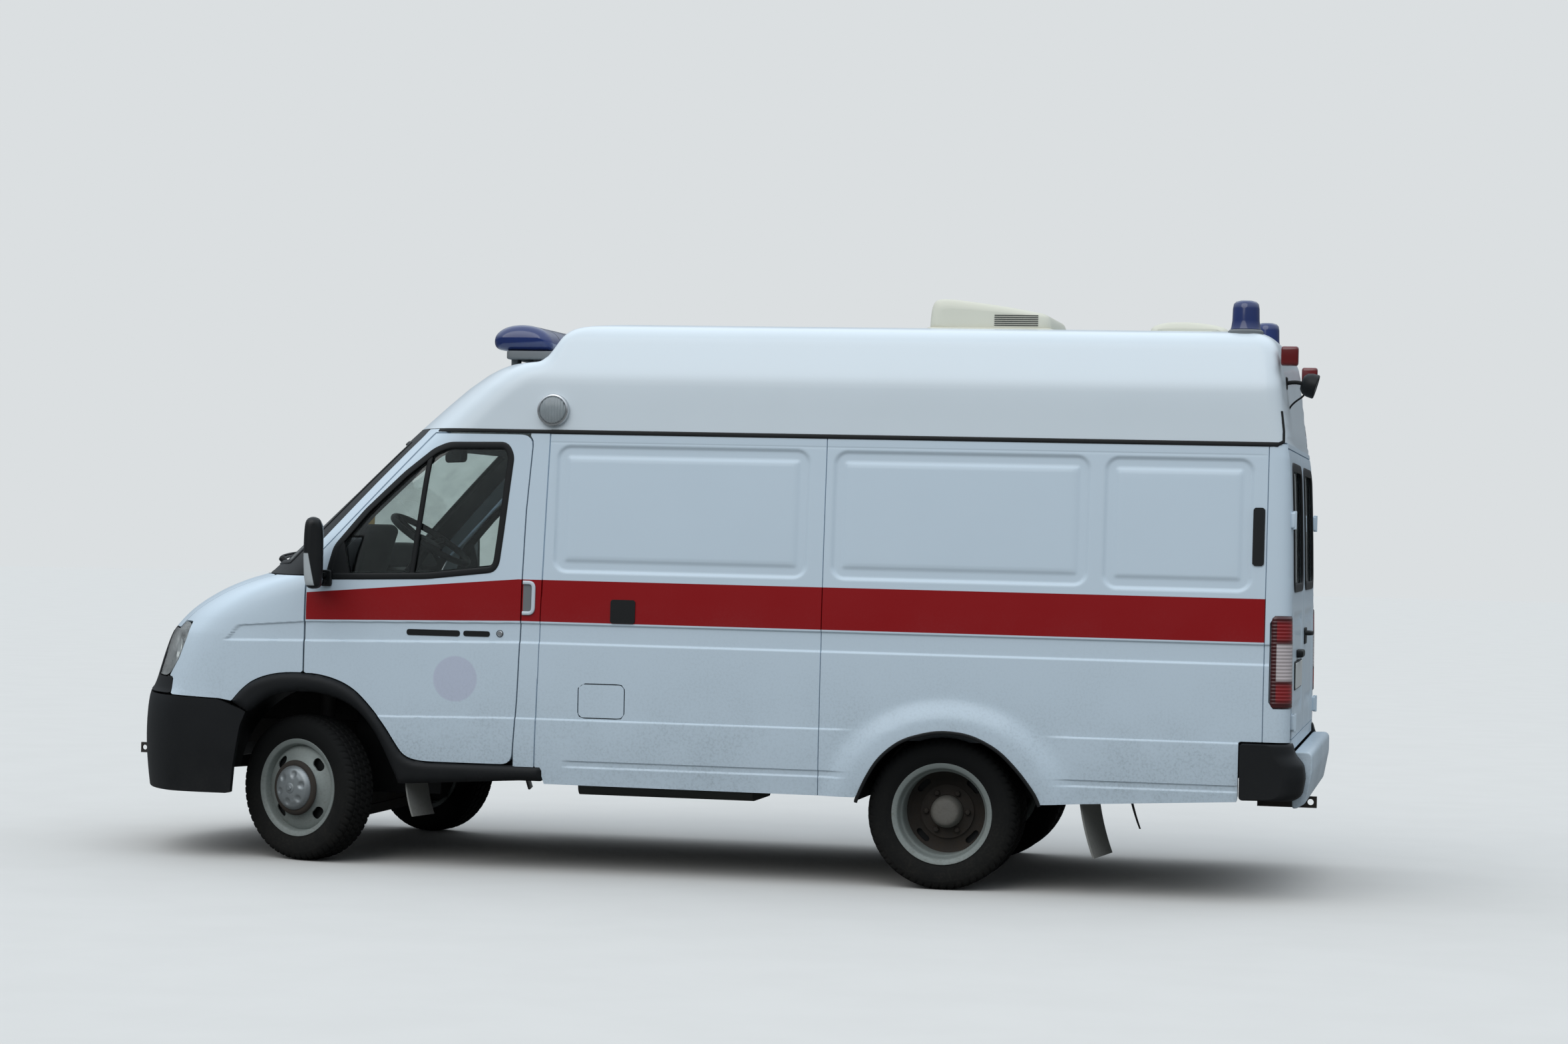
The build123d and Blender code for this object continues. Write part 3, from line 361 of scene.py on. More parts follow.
LOOKS = {
    "roof_shell": dict(colour=(220, 230, 236), roughness=0.34, coat=0.25, vary=0.04, grime_and_shade=0.0),
    "black_plastic": dict(colour=(21, 23, 25), roughness=0.55, vary=0.3, grime_and_shade=0.18, bump=0.25, scale=9.0,
                          grime_and_shade_colour=(74, 71, 66), specular=0.25),
    "dusty_plastic": dict(colour=(138, 138, 134), roughness=0.8, vary=0.3, grime_and_shade=0.6, grime_and_shade_top=0.6,
                          scale=9.0, specular=0.2),
    "cream_plastic": dict(colour=(214, 212, 196), roughness=0.45, vary=0.08, grime_and_shade=0.0),
    "blue_lamp": dict(colour=(14, 40, 100), roughness=0.16, coat=0.6, vary=0.35, grime_and_shade=0.0, scale=6.0),
    "inner_paint": dict(colour=(120, 126, 130), roughness=0.6, vary=0.08, grime_and_shade=0.1),
    "seat_cover": dict(colour=(52, 57, 66), roughness=0.85, vary=0.2, grime_and_shade=0.0, bump=0.3),
    "dark_steel": dict(colour=(52, 50, 48), roughness=0.7, metallic=0.2, vary=0.4, grime_and_shade=0.7, bump=0.4,
                       scale=8.0, grime_and_shade_colour=(104, 92, 76)),
    "tank_steel": dict(colour=(70, 72, 70), roughness=0.6, metallic=0.5, vary=0.3, grime_and_shade=0.5, scale=6.0),
    "rim_paint": dict(colour=(142, 150, 147), roughness=0.55, metallic=0.2, vary=0.35, grime_and_shade=0.55,
                      grime_and_shade_top=0.9, scale=12.0, grime_and_shade_colour=(92, 84, 74)),
    "rubber": dict(colour=(20, 22, 23), roughness=0.5, vary=0.25, grime_and_shade=0.15, bump=0.15, scale=9.0,
                   grime_and_shade_colour=(66, 63, 58), specular=0.3),
    # Grey plastic of the lamp feet; on the handle pockets it paints the shade of their recess.
    "grey_plastic_and_pocket_shade": dict(colour=(112, 116, 118), roughness=0.6, vary=0.15, grime_and_shade=0.2),
    "handle_white": dict(colour=(206, 216, 222), roughness=0.3, coat=0.3, vary=0.04, grime_and_shade=0.1),
    "dark_trim": dict(colour=(30, 32, 35), roughness=0.7, vary=0.2, grime_and_shade=0.0, bump=0.2, scale=9.0,
                      specular=0.25),
    "note_paper": dict(colour=(206, 170, 96), roughness=0.8, vary=0.1, grime_and_shade=0.0),
    "hub_grey": dict(colour=(112, 110, 104), roughness=0.7, vary=0.5, grime_and_shade=0.5, grime_and_shade_top=0.9, scale=20.0,
                     grime_and_shade_colour=(72, 60, 50)),
    "plate_white": dict(colour=(206, 208, 206), roughness=0.5, vary=0.06, grime_and_shade=0.3, grime_and_shade_top=1.2),
    "red_lens": dict(colour=(104, 10, 13), roughness=0.25, coat=0.6, vary=0.2, grime_and_shade=0.0, scale=9.0),
    "lamp_silver": dict(colour=(196, 198, 200), roughness=0.22, metallic=0.85, vary=0.12, grime_and_shade=0.1),
    "mirror_silver": dict(colour=(210, 214, 216), roughness=0.05, metallic=1.0, vary=0.04, grime_and_shade=0.05),
    "cover_silver": dict(colour=(150, 156, 158), roughness=0.42, metallic=0.6, vary=0.25, grime_and_shade=0.35,
                         grime_and_shade_top=0.9, scale=14.0, grime_and_shade_colour=(84, 74, 62)),
    "rusty_steel": dict(colour=(50, 46, 42), roughness=0.85, vary=0.8, grime_and_shade=0.5, grime_and_shade_top=0.9, bump=0.5,
                        scale=22.0, grime_and_shade_colour=(68, 54, 42)),
    "tyre_rubber": dict(colour=(20, 21, 21), roughness=0.85, vary=0.3, grime_and_shade=0.3, grime_and_shade_top=0.6, bump=0.3,
                        scale=14.0, grime_and_shade_colour=(70, 66, 60), specular=0.2),
}
FINISH = {name: finish_of(name, **look) for name, look in LOOKS.items()}
FINISH.update(
    body_paint=striped_paint(),
    clear_glass=glass_of("clear_glass", (214, 224, 222)),
    lamp_glass=glass_of("lamp_glass", (232, 236, 236), 0.05),
    red_lamp=glass_of("red_lamp", (170, 16, 18), 0.08),
    tail_lens=tail_lens(),
    ribbed_lens=ribbed_lens(),
    mirror_black=mirror_black())


def dress_frame():
    """Gives every node of the frame the finish of its slot in the record."""
    slot_of = {part["node"]: part["material_slot"] for part in frame["record"]["subparts"]}
    for name, node in frame["nodes"].items():
        node.data.materials.clear()
        node.data.materials.append(FINISH[slot_of[name]])


# Meshes


def to_row(points):
    """Points in the axle's frame and millimetres, as the row's metres."""
    return (np.asarray(points, float) + (ORIGIN_X, 0, 0)) * MM


def add_piece(name, mesh, finish, body, node=None, sharp=38.0):
    """Piece from points in the axle's frame and arrays of faces, smooth but for edges over the sharp angle.
    It stands for the frame's node, where one is named."""
    points, groups = mesh
    data = bpy.data.meshes.new(name)
    data.from_pydata(to_row(points).tolist(), [], [face for faces in groups for face in faces.tolist()])
    data.validate()
    data.polygons.foreach_set("use_smooth", np.ones(len(data.polygons), bool))
    data.set_sharp_from_angle(angle=math.radians(sharp))
    data.materials.append(FINISH[finish])
    piece = bpy.data.objects.new(name, data)
    bpy.context.scene.collection.objects.link(piece)
    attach(piece, body)
    if node:
        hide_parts(node)
    return piece


def grid_faces(rows, cols, wrap_rows=False, wrap_cols=False):
    """Quads between neighbours in a rows by cols grid of points, counted row by row."""
    r = np.arange(rows if wrap_rows else rows - 1)[:, None]
    c = np.arange(cols if wrap_cols else cols - 1)[None, :]
    r2, c2 = (r + 1) % rows, (c + 1) % cols
    corners = np.broadcast_arrays(r * cols + c, r2 * cols + c, r2 * cols + c2, r * cols + c2)
    return np.stack(corners, -1).reshape(-1, 4)


def step(value, low, high):
    """Smooth step from 0 at low to 1 at high: 3 t squared less 2 t cubed."""
    t = np.clip((value - low) / (high - low), 0, 1)
    return t * t * (3 - 2 * t)


def rounded(points, rounds=2):
    """Corner cutting: each round keeps the ends and puts points at a quarter and three quarters of each run."""
    p = np.array(points, float)
    for _ in range(rounds):
        near, far = 0.75 * p[:-1] + 0.25 * p[1:], 0.25 * p[:-1] + 0.75 * p[1:]
        p = np.vstack([p[:1], np.stack([near, far], 1).reshape(-1, p.shape[1]), p[-1:]])
    return p


def smooth_max(a, b, reach):
    """Larger of a and b, eased by h squared times a quarter of the reach, where h is how near they are."""
    h = np.clip(reach - np.abs(a - b), 0, None) / reach
    return np.maximum(a, b) + h * h * reach / 4


# Body form: X and Z of the front profile on the middle plane, plan of the front, section and rear profile
PROFILE = rounded([
    (-1000, 200), (-1024, 330), (-1040, 480), (-1040, 620), (-1026, 735), (-1000, 760),
    (-960, 900), (-925, 1000), (-898, 1042), (-815, 1127), (-686, 1208), (-560, 1262),
    (-455, 1292), (-432, 1304), (255, 1962), (642, 2286), (900, 2302)])
BULGE = rounded([
    (1004, 2290), (1020, 2330), (1048, 2380), (1078, 2416), (1112, 2442), (1165, 2464), (1260, 2486),
    (1400, 2560)])
PLAN = rounded([
    (0, 0), (200, 12), (400, 50), (600, 115), (760, 187), (850, 240), (930, 306), (990, 380), (1025, 460),
    (1044, 560), (1052, 700)])
BULGE_BOW = 55 / 240
BULGE_FOOT_Z, LEDGE_Z = 2240, 2302
SECTION = rounded([
    (1010, 200), (1020, 400), (1030, 520), (1033, 700), (1033, 1000), (1032, 1180), (1012, 1600),
    (986, GUTTER_Z), (972, 2190), (962, 2228), (905, 2366), (820, 2560)])
ROOF = rounded([(0, 2482), (400, 2476), (735, 2455), (905, 2430), (1050, 2400)])
REAR = rounded([
    (4395, 200), (4395, 1000), (4373, 1850), (4348, 2000), (4327, 2136), (4316, 2260), (4304, 2372),
    (4270, 2440), (4236, 2466), (4150, 2490), (3900, 2560)])
SIDE_ROUND, ROOF_ROUND, REAR_ROUND, LEDGE_ROUND = 50, 58, 80, 60


def slope_of(curve, key, value, at):
    """Slope d value / d key of a curve, read at the places at."""
    k, v = curve[:, key], curve[:, value]
    return np.interp(at, k, np.gradient(v, k))


def depth(x, y, z, inset=0.0):
    """Signed distance, about, from the body's outer form: negative inside. It is the smooth maximum of how
    far a point lies before the front, outside the section, over the roof and behind the rear."""
    y = np.abs(y)
    bow = np.interp(y, PLAN[:, 0], PLAN[:, 1])
    bow_slope = slope_of(PLAN, 0, 1, y)
    rise = slope_of(PROFILE, 1, 0, z)
    front = (np.interp(z, PROFILE[:, 1], PROFILE[:, 0]) + bow - x) / np.sqrt(1 + rise ** 2 + bow_slope ** 2)
    front = smooth_max(front, z - LEDGE_Z, LEDGE_ROUND)
    bulge_rise = slope_of(BULGE, 1, 0, z)
    bulge = (np.interp(z, BULGE[:, 1], BULGE[:, 0]) + BULGE_BOW * bow - x) / np.sqrt(1 + bulge_rise ** 2)
    bulge = np.maximum(bulge, BULGE_FOOT_Z - z)
    front = -smooth_max(-front, -bulge, LEDGE_ROUND)
    side = y - np.interp(z, SECTION[:, 1], SECTION[:, 0])
    roof = z - np.interp(y, ROOF[:, 0], ROOF[:, 1])
    rear = x - np.interp(z, REAR[:, 1], REAR[:, 0])
    across = smooth_max(side, roof, ROOF_ROUND)
    return smooth_max(smooth_max(front, across, SIDE_ROUND), rear, REAR_ROUND) + inset


def cast(origin, direction, near, far, inset=0.0):
    """Where rays leave the form: the distance along each is halved down between near and far."""
    low, high = np.full(origin.shape[:-1], float(near)), np.full(origin.shape[:-1], float(far))
    for _ in range(20):
        middle = (low + high) / 2
        p = origin + middle[..., None] * direction
        inside = depth(p[..., 0], p[..., 1], p[..., 2], inset) < 0
        low, high = np.where(inside, middle, low), np.where(inside, high, middle)
    return origin + ((low + high) / 2)[..., None] * direction


def outward(points):
    """Unit normals of the form at points: the slope of depth, taken 2 mm each way."""
    x, y, z = points[..., 0], points[..., 1], points[..., 2]
    n = np.stack([depth(x + 2, y, z) - depth(x - 2, y, z), depth(x, y + 2, z) - depth(x, y - 2, z),
                  depth(x, y, z + 2) - depth(x, y, z - 2)], -1)
    return n / np.linalg.norm(n, axis=-1, keepdims=True)


def ruler(low, high, gap, fine=()):
    """Grid line places from low to high about gap apart, with extra groups (middle, half width, gap)."""
    places = [np.linspace(low, high, max(2, int(round((high - low) / gap)) + 1))]
    for middle, half, small in fine:
        group = np.arange(middle - half, middle + half + small / 2, small)
        group = group[(group > low) & (group < high)]
        base = places[0]
        places[0] = base[(np.abs(base - middle) > half + small * 0.6) | (base == low) | (base == high)]
        places[0] = np.sort(np.concatenate([places[0], group]))
    line = np.unique(places[0])
    keep = np.concatenate([[True], np.diff(line) > 0.02 * gap])
    return line[keep]


def trimmed(surface, edge, a_lines, b_lines):
    """Surface of two parameters kept where edge(points) is below zero. Where a grid line crosses the edge,
    its nearer end slides onto the crossing, found by halving. Cells with four kept corners stay quads and
    those with three become triangles. Returns the kept points and faces."""
    a, b = np.meshgrid(a_lines, b_lines, indexing="ij")
    inside_by = edge(surface(a, b))
    new_a, new_b = a.copy().ravel(), b.copy().ravel()
    snapped = np.zeros(a.size, bool)
    index = np.arange(a.size).reshape(a.shape)
    down = np.stack([index[:-1].ravel(), index[1:].ravel()], 1)
    along = np.stack([index[:, :-1].ravel(), index[:, 1:].ravel()], 1)
    ends = np.concatenate([down, along])
    flat = inside_by.ravel()
    ends = ends[(flat[ends[:, 0]] < 0) != (flat[ends[:, 1]] < 0)]
    if len(ends):
        a0, b0, a1, b1 = (v.ravel()[ends[:, k]] for k in (0, 1) for v in (a, b))
        sign = flat[ends[:, 0]] < 0
        low, high = np.zeros(len(ends)), np.ones(len(ends))
        for _ in range(14):
            t = (low + high) / 2
            same = (edge(surface(a0 + t * (a1 - a0), b0 + t * (b1 - b0))) < 0) == sign
            low, high = np.where(same, t, low), np.where(same, high, t)
        t = (low + high) / 2
        moved = np.where(t < 0.5, ends[:, 0], ends[:, 1])
        order = np.argsort(-np.minimum(t, 1 - t))
        new_a[moved[order]] = (a0 + t * (a1 - a0))[order]
        new_b[moved[order]] = (b0 + t * (b1 - b0))[order]
        snapped[moved] = True
    kept = (flat < 0) | snapped
    cells = grid_faces(*a.shape)
    count = kept[cells].sum(1)
    middle = surface(new_a[cells].mean(1), new_b[cells].mean(1))
    quads = cells[(count == 4) & (edge(middle) < 0.2)]
    three = cells[count == 3]
    tris = three[kept[three]].reshape(-1, 3)
    used = np.unique(np.concatenate([quads.ravel(), tris.ravel()]))
    renumber = np.zeros(a.size, int)
    renumber[used] = np.arange(len(used))
    return surface(new_a[used], new_b[used]), [renumber[quads], renumber[tris]]


def edge_strips(face_groups, count):
    """Strips from each edge that only one face uses to the same edge, count points later."""
    edges = np.concatenate([np.stack([faces, np.roll(faces, -1, 1)], -1).reshape(-1, 2)
                            for faces in face_groups if len(faces)])
    edges = edges[edges[:, 0] != edges[:, 1]]
    key = np.sort(edges, 1)
    key = key[:, 0] * (edges.max() + 1) + key[:, 1]
    _, first, uses = np.unique(key, return_index=True, return_counts=True)
    start, end = edges[first[uses == 1]].T
    return np.stack([end, start, start + count, end + count], 1)


def shell(outer, faces, inner):
    """Closed wall between an outer and an inner sheet of the same faces, with strips along every edge."""
    n = len(outer)
    quads, tris = faces
    sample = quads if len(quads) else tris
    side = np.cross(outer[sample[:, 1]] - outer[sample[:, 0]], outer[sample[:, 2]] - outer[sample[:, 0]])
    away = (outer - inner)[sample[:, 0]]
    if (side * away).sum() < 0:
        quads, tris = quads[:, ::-1], tris[:, ::-1]
    strips = edge_strips([quads, tris], n)
    return np.vstack([outer, inner]), [quads, tris, quads[:, ::-1] + n, tris[:, ::-1] + n, strips]


def inside_outline(outline, view):
    """Signed distance in a view's two coordinates from a closed outline of corners: negative inside it."""
    ring = np.asarray(outline, float)

    def distance(points):
        p = points[..., list(view)]
        nearest = np.full(p.shape[:-1], 1e9)
        odd = np.zeros(p.shape[:-1], bool)
        for start, end in zip(ring, np.roll(ring, -1, 0)):
            run = end - start
            t = np.clip(((p - start) @ run) / (run @ run), 0, 1)
            nearest = np.minimum(nearest, np.linalg.norm(p - start - t[..., None] * run, axis=-1))
            if start[1] != end[1]:
                crosses = (p[..., 1] < start[1]) != (p[..., 1] < end[1])
                at = start[0] + (p[..., 1] - start[1]) * run[0] / run[1]
                odd ^= crosses & (p[..., 0] < at)
        return np.where(odd, -nearest, nearest)
    return distance


def cut_corners(outline, radius, steps=4):
    """Closed outline with each corner replaced by an arc-like run that starts radius before the corner."""
    ring = np.asarray(outline, float)
    before, after = np.roll(ring, 1, 0) - ring, np.roll(ring, -1, 0) - ring
    result = []
    for corner, b, f in zip(ring, before, after):
        start = corner + b / np.linalg.norm(b) * min(radius, 0.45 * np.linalg.norm(b))
        end = corner + f / np.linalg.norm(f) * min(radius, 0.45 * np.linalg.norm(f))
        t = np.linspace(0, 1, steps + 1)[:, None]
        result.append((1 - t) ** 2 * start + 2 * t * (1 - t) * corner + t ** 2 * end)
    return np.vstack(result)


def oblong(u0, u1, v0, v1, radius, steps=4):
    """Rectangle's outline with its corners cut."""
    return cut_corners([(u0, v0), (u1, v0), (u1, v1), (u0, v1)], radius, steps)


def grown(outline, share):
    """Outline made larger or smaller about the mean of its points."""
    middle = outline.mean(0)
    return middle + (outline - middle) * share


def rounded_rectangle(u, v, box, radius):
    """Distance inside the edge of a rounded rectangle box (u0, u1, v0, v1): positive inside."""
    u0, u1, v0, v1 = box
    du = np.abs(u - (u0 + u1) / 2) - (u1 - u0) / 2 + radius
    dv = np.abs(v - (v0 + v1) / 2) - (v1 - v0) / 2 + radius
    outside = np.hypot(np.clip(du, 0, None), np.clip(dv, 0, None))
    return radius - outside - np.minimum(np.maximum(du, dv), 0)


def rounded_in(inside, width):
    """Quarter ellipse: from 0 at an edge to 1 where a point lies width inside it."""
    share = np.clip(inside, 0, width) / width
    return np.sqrt(1 - (1 - share) ** 2)


def all_of(*edges):
    """Kept only where every edge function keeps it."""
    return lambda p: np.max([e(p) for e in edges], axis=0)


def outside_of(edge):
    """Kept only where the edge function doesn't keep it."""
    return lambda p: -edge(p)


def outside_outline(outline, view):
    """Signed distance in a view's two coordinates from a closed outline: negative outside it."""
    return outside_of(inside_outline(outline, view))


def wall_of(surface, edges, lines, sink, lift=0.0):
    """Closed wall of a surface where every edge keeps it, from lift outside it to sink inside it."""
    points, faces = trimmed(surface, all_of(*edges), *lines)
    normal = outward(points)
    return shell(points + lift * normal, faces, points - sink * normal)


# Small forms


def facing_out(points, groups):
    """Closed mesh with its faces turned outwards, as the sign of its volume says."""
    p = points - points.mean(0)
    volume = 0.0
    for faces in groups:
        for k in range(1, faces.shape[1] - 1):
            volume += (p[faces[:, 0]] * np.cross(p[faces[:, k]], p[faces[:, k + 1]])).sum()
    return points, groups if volume > 0 else [faces[:, ::-1] for faces in groups]


def merged(*meshes):
    """Several meshes as one."""
    starts = np.cumsum([0] + [len(points) for points, _ in meshes])
    return np.vstack([points for points, _ in meshes]), \
        [faces + start for start, (_, groups) in zip(starts, meshes) for faces in groups]


def moved(mesh, turn=None, shift=(0, 0, 0)):
    """Mesh turned by a 3 by 3 matrix, then shifted."""
    points, groups = mesh
    return (points if turn is None else points @ np.asarray(turn).T) + shift, groups


def across(mesh):
    """Mesh on the other side of the vehicle: Y turned round."""
    points, groups = mesh
    return points * (1, -1, 1), [faces[:, ::-1] for faces in groups]


def on_side_of(mesh, side):
    """Mesh made for the left side, as it is or turned over to the right."""
    return mesh if side < 0 else across(mesh)


def both(make):
    """What make(side) gives for the two sides, as one mesh."""
    return merged(*[make(side) for side in SIDES])


def twinned(mesh):
    """Mesh made for the left side, with its copy on the right."""
    return merged(mesh, across(mesh))


def yaw(degrees):
    """Turn about the vertical, as a 3 by 3 matrix."""
    c, s = math.cos(math.radians(degrees)), math.sin(math.radians(degrees))
    return np.array([[c, -s, 0], [s, c, 0], [0, 0, 1]])


def swung(mesh, degrees, pin, shift=(0, 0, 0)):
    """Mesh swung about an upright pin, then shifted."""
    pin = np.array(pin, float)
    return moved(moved(mesh, shift=-pin), yaw(degrees), pin + shift)


def lofted(rings, ring=False):
    """Closed skin over rings of equally many points, with flat ends, or joined round into a ring."""
    rings = np.asarray(rings, float)
    n, m = rings.shape[:2]
    groups = [grid_faces(n, m, ring, True)]
    if not ring:
        groups += [np.arange(m)[None, ::-1], (np.arange(m) + (n - 1) * m)[None]]
    return facing_out(rings.reshape(-1, 3), groups)


def turned(profile, centre, axis, steps=64, ring=False):
    """Outline of (radius, along) turned about an axis through the centre."""
    profile, axis = np.asarray(profile, float), np.asarray(axis, float)
    axis = axis / np.linalg.norm(axis)
    side = np.cross(axis, (1.0, 0, 0) if abs(axis[2]) > 0.8 else (0, 0, 1.0))
    side /= np.linalg.norm(side)
    turn = np.linspace(0, 2 * np.pi, steps, endpoint=False)[:, None]
    round_ = np.cos(turn) * side + np.sin(turn) * np.cross(axis, side)
    rings = np.asarray(centre, float) + profile[:, 0, None, None] * round_ + profile[:, 1, None, None] * axis
    return lofted(rings, ring)


def slab(outline, axis, low, high, edge, steps=5, ends=(1, 1)):
    """Outline carried along an axis. Towards each end it is drawn in by the edge radius times one less the
    sine of a quarter turn."""
    ring = np.asarray(outline, float)
    middle, half = (ring.min(0) + ring.max(0)) / 2, (ring.max(0) - ring.min(0)) / 2
    quarter = np.linspace(0, np.pi / 2, steps)
    inset, lift = edge * (1 - np.sin(quarter)), edge * (1 - np.cos(quarter))
    along = np.concatenate([low + lift * ends[0], high - lift[::-1] * ends[1]])
    inset = np.concatenate([inset * ends[0], inset[::-1] * ends[1]])
    keep = np.concatenate([[True], np.diff(along) > 1e-6])
    flat = middle + (ring - middle) * (1 - inset[keep, None, None] / half)
    rings = np.empty(flat.shape[:2] + (3,))
    rings[..., [k for k in range(3) if k != axis]] = flat
    rings[..., axis] = along[keep, None]
    return lofted(rings)


def block(low, high, edge, corner=None, axis=2, steps=4, ends=(1, 1)):
    """Box with rounded edges, and its own radius at the corners round the axis."""
    a, b = [k for k in range(3) if k != axis]
    ring = oblong(low[a], high[a], low[b], high[b], edge if corner is None else corner, 5)
    return slab(ring, axis, low[axis], high[axis], edge, steps, ends)


def swept(path, ups, outline, closed=False):
    """Outline of (across, up) carried along a path, with up as near the given directions as it can be."""
    path, outline = np.asarray(path, float), np.asarray(outline, float)
    run = np.roll(path, -1, 0) - np.roll(path, 1, 0) if closed else np.gradient(path, axis=0)
    run /= np.linalg.norm(run, axis=-1, keepdims=True)
    up = np.broadcast_to(np.asarray(ups, float), path.shape)
    up = up - (up * run).sum(-1, keepdims=True) * run
    up = up / np.linalg.norm(up, axis=-1, keepdims=True)
    wide = np.cross(run, up)
    rings = path[:, None] + outline[None, :, :1] * wide[:, None] + outline[None, :, 1:] * up[:, None]
    return lofted(rings, closed)


def bead(width, height, sunk=0.0, count=14):
    """Rounded oblong section: each coordinate is half the size times a cosine or sine to the power 0.6."""
    t = np.linspace(0, 2 * np.pi, count, endpoint=False)
    c, s = np.cos(t), np.sin(t)
    u, v = np.sign(c) * np.abs(c) ** 0.6, np.sign(s) * np.abs(s) ** 0.6
    return np.stack([width / 2 * u, height / 2 * (v + 1) - sunk], -1)


def tube(points, radius, sides=12, up=(0.02, 0.03, 1.0), smooth=2):
    """Round rod along points, with its bends rounded."""
    return swept(rounded(points, smooth), up, bead(2 * radius, 2 * radius, radius, sides))


def along_line(points, gap, closed=False):
    """Points at even gaps along a line of corners."""
    p = np.asarray(points, float)
    if closed:
        p = np.vstack([p, p[:1]])
    far = np.concatenate([[0], np.cumsum(np.linalg.norm(np.diff(p, axis=0), axis=1))])
    at = np.linspace(0, far[-1], max(3, int(far[-1] / gap) + 1), endpoint=not closed)
    return np.stack([np.interp(at, far, p[:, k]) for k in range(p.shape[1])], -1)


def welded(points, groups):
    """Mesh whose points at the same place are made one."""
    _, first, new = np.unique(np.round(points, 3), axis=0, return_index=True, return_inverse=True)
    return points[first], [new.reshape(-1)[faces] for faces in groups]


def add_painted(name, mesh, body, node=None):
    """Piece in the body's paint."""
    return add_piece(name, mesh, "body_paint", body, node)


def add_rubber(name, mesh, body, node=None):
    """Black rubber piece."""
    return add_piece(name, mesh, "rubber", body, node)


# Side panels

SEAM_X = (1092, 2360, 4278)
STAMPINGS = [(1140, 2289, 1336, 1904), (2393, 3519, 1336, 1902), (3579, 4220, 1328, 1900)]
CREASE_Z, BELT_Z, LOW_CREASE_Z, CHANNEL_Z, TOP_LINE_Z = 1022, 1106, 686, (478, 503), 1914
REAR_ARCH = cut_corners([
    (2520, 300), (2529, 371), (2570, 471), (2631, 571), (2729, 651), (2884, 693), (3025, 683), (3153, 621),
    (3253, 520), (3332, 412), (3350, 300)], 60)
ARCH_LINE = REAR_ARCH[REAR_ARCH[:, 1] > 372]
BULGE_MIDDLE, BULGE_REACH, BULGE_HEIGHT = (2925, 330), (455, 405), 27
SEAM_WIDTH, SEAM_DEPTH = 4.4, 11


def pillar_lean(z):
    """How far the seam behind the front door lies to the rear of its middle, in proportion to the height."""
    return 14 * (z - 1230) / 720


def front_drop(x):
    """How far the side's lines fall towards the front."""
    return 20 * np.clip((1000 - x) / 1000, 0, 1.4)


def side_relief(x, z):
    """How far the side's skin stands out from the plain form: the recessed band under the stripe, the low
    crease, the channel over the sill, the stamped dishes, the swelling round the rear arch and the seams."""
    drop = front_drop(x)
    band_top = BELT_Z - drop - 18 * np.clip(-x / 310, 0, 1.3) - 58 * step(-x, 312, 386)
    band = step(z, CREASE_Z - drop - 4, CREASE_Z - drop + 5) - step(z, band_top - 2, band_top + 3)
    relief = -7.0 * np.clip(band, 0, 1) * step(x, -394, -372)
    away = step(np.abs(x - 2930), 400, 520)
    relief = relief + 5.0 * (1 - step(z, LOW_CREASE_Z - drop - 3, LOW_CREASE_Z - drop + 4)) * away
    low, high = CHANNEL_Z
    ends = step(x, 1205, 1240) * step(np.abs(x - 2940), 440, 540) * (1 - step(x, 4160, 4190))
    relief = relief - 5.0 * (step(z, low - 4, low + 3) - step(z, high - 2, high + 3)) * ends
    for box in STAMPINGS:
        d = rounded_rectangle(x, z, box, 62)
        relief = relief - 9.0 * step(d, 0, 13) + 6.5 * step(d, 44, 66)
    ends = step(x, 1096, 1110) * (1 - step(x, 4262, 4276))
    relief = relief - 2.2 * np.exp(-((z - TOP_LINE_Z) / 2.2) ** 2) * ends
    (mx, mz), (rx, rz) = BULGE_MIDDLE, BULGE_REACH
    ring = np.hypot((x - mx) / rx, np.clip(z - mz, 0, None) / rz)
    relief = relief + BULGE_HEIGHT * (1 - step(ring, 1.0, 1.27))
    for seam in SEAM_X:
        lean = pillar_lean(z) if seam == SEAM_X[0] else 0
        relief = relief - SEAM_DEPTH * (np.abs(x - lean - seam) < SEAM_WIDTH / 2)
    return relief


def side_surface(side, relief=side_relief):
    """Side skin as a surface of X and Z: rays sideways out of the form, moved by the relief."""
    def surface(x, z):
        origin = np.stack([x, np.full_like(x, side * 400.0), z], -1)
        skin = cast(origin, np.array([0.0, side, 0.0]), 0, 700)
        return skin + relief(x, z)[..., None] * outward(skin)
    return surface


DOOR_REAR = [(1028, 1946), (1006, 1601), (999, 1305), (998, 1098), (988, 773), (970, 478)]
FLARE_LINE = rounded([
    (-344, 717), (-300, 770), (-240, 818), (-138, 850), (-16, 856), (107, 843), (220, 799), (305, 718),
    (380, 627), (430, 550), (470, 497), (540, 474), (700, 474), (1112, 474)])
FLARE_INNER = rounded([
    (447, 374), (434, 409), (405, 470), (372, 540), (319, 628), (232, 717), (109, 765), (-14, 775),
    (-136, 760), (-205, 722), (-269, 673)])


def beside(line, reach):
    """Line in X and Z moved to its left by reach, seen along the way it runs."""
    run = np.gradient(line, axis=0)
    run /= np.linalg.norm(run, axis=1, keepdims=True)
    return line + reach * np.stack([-run[:, 1], run[:, 0]], 1)


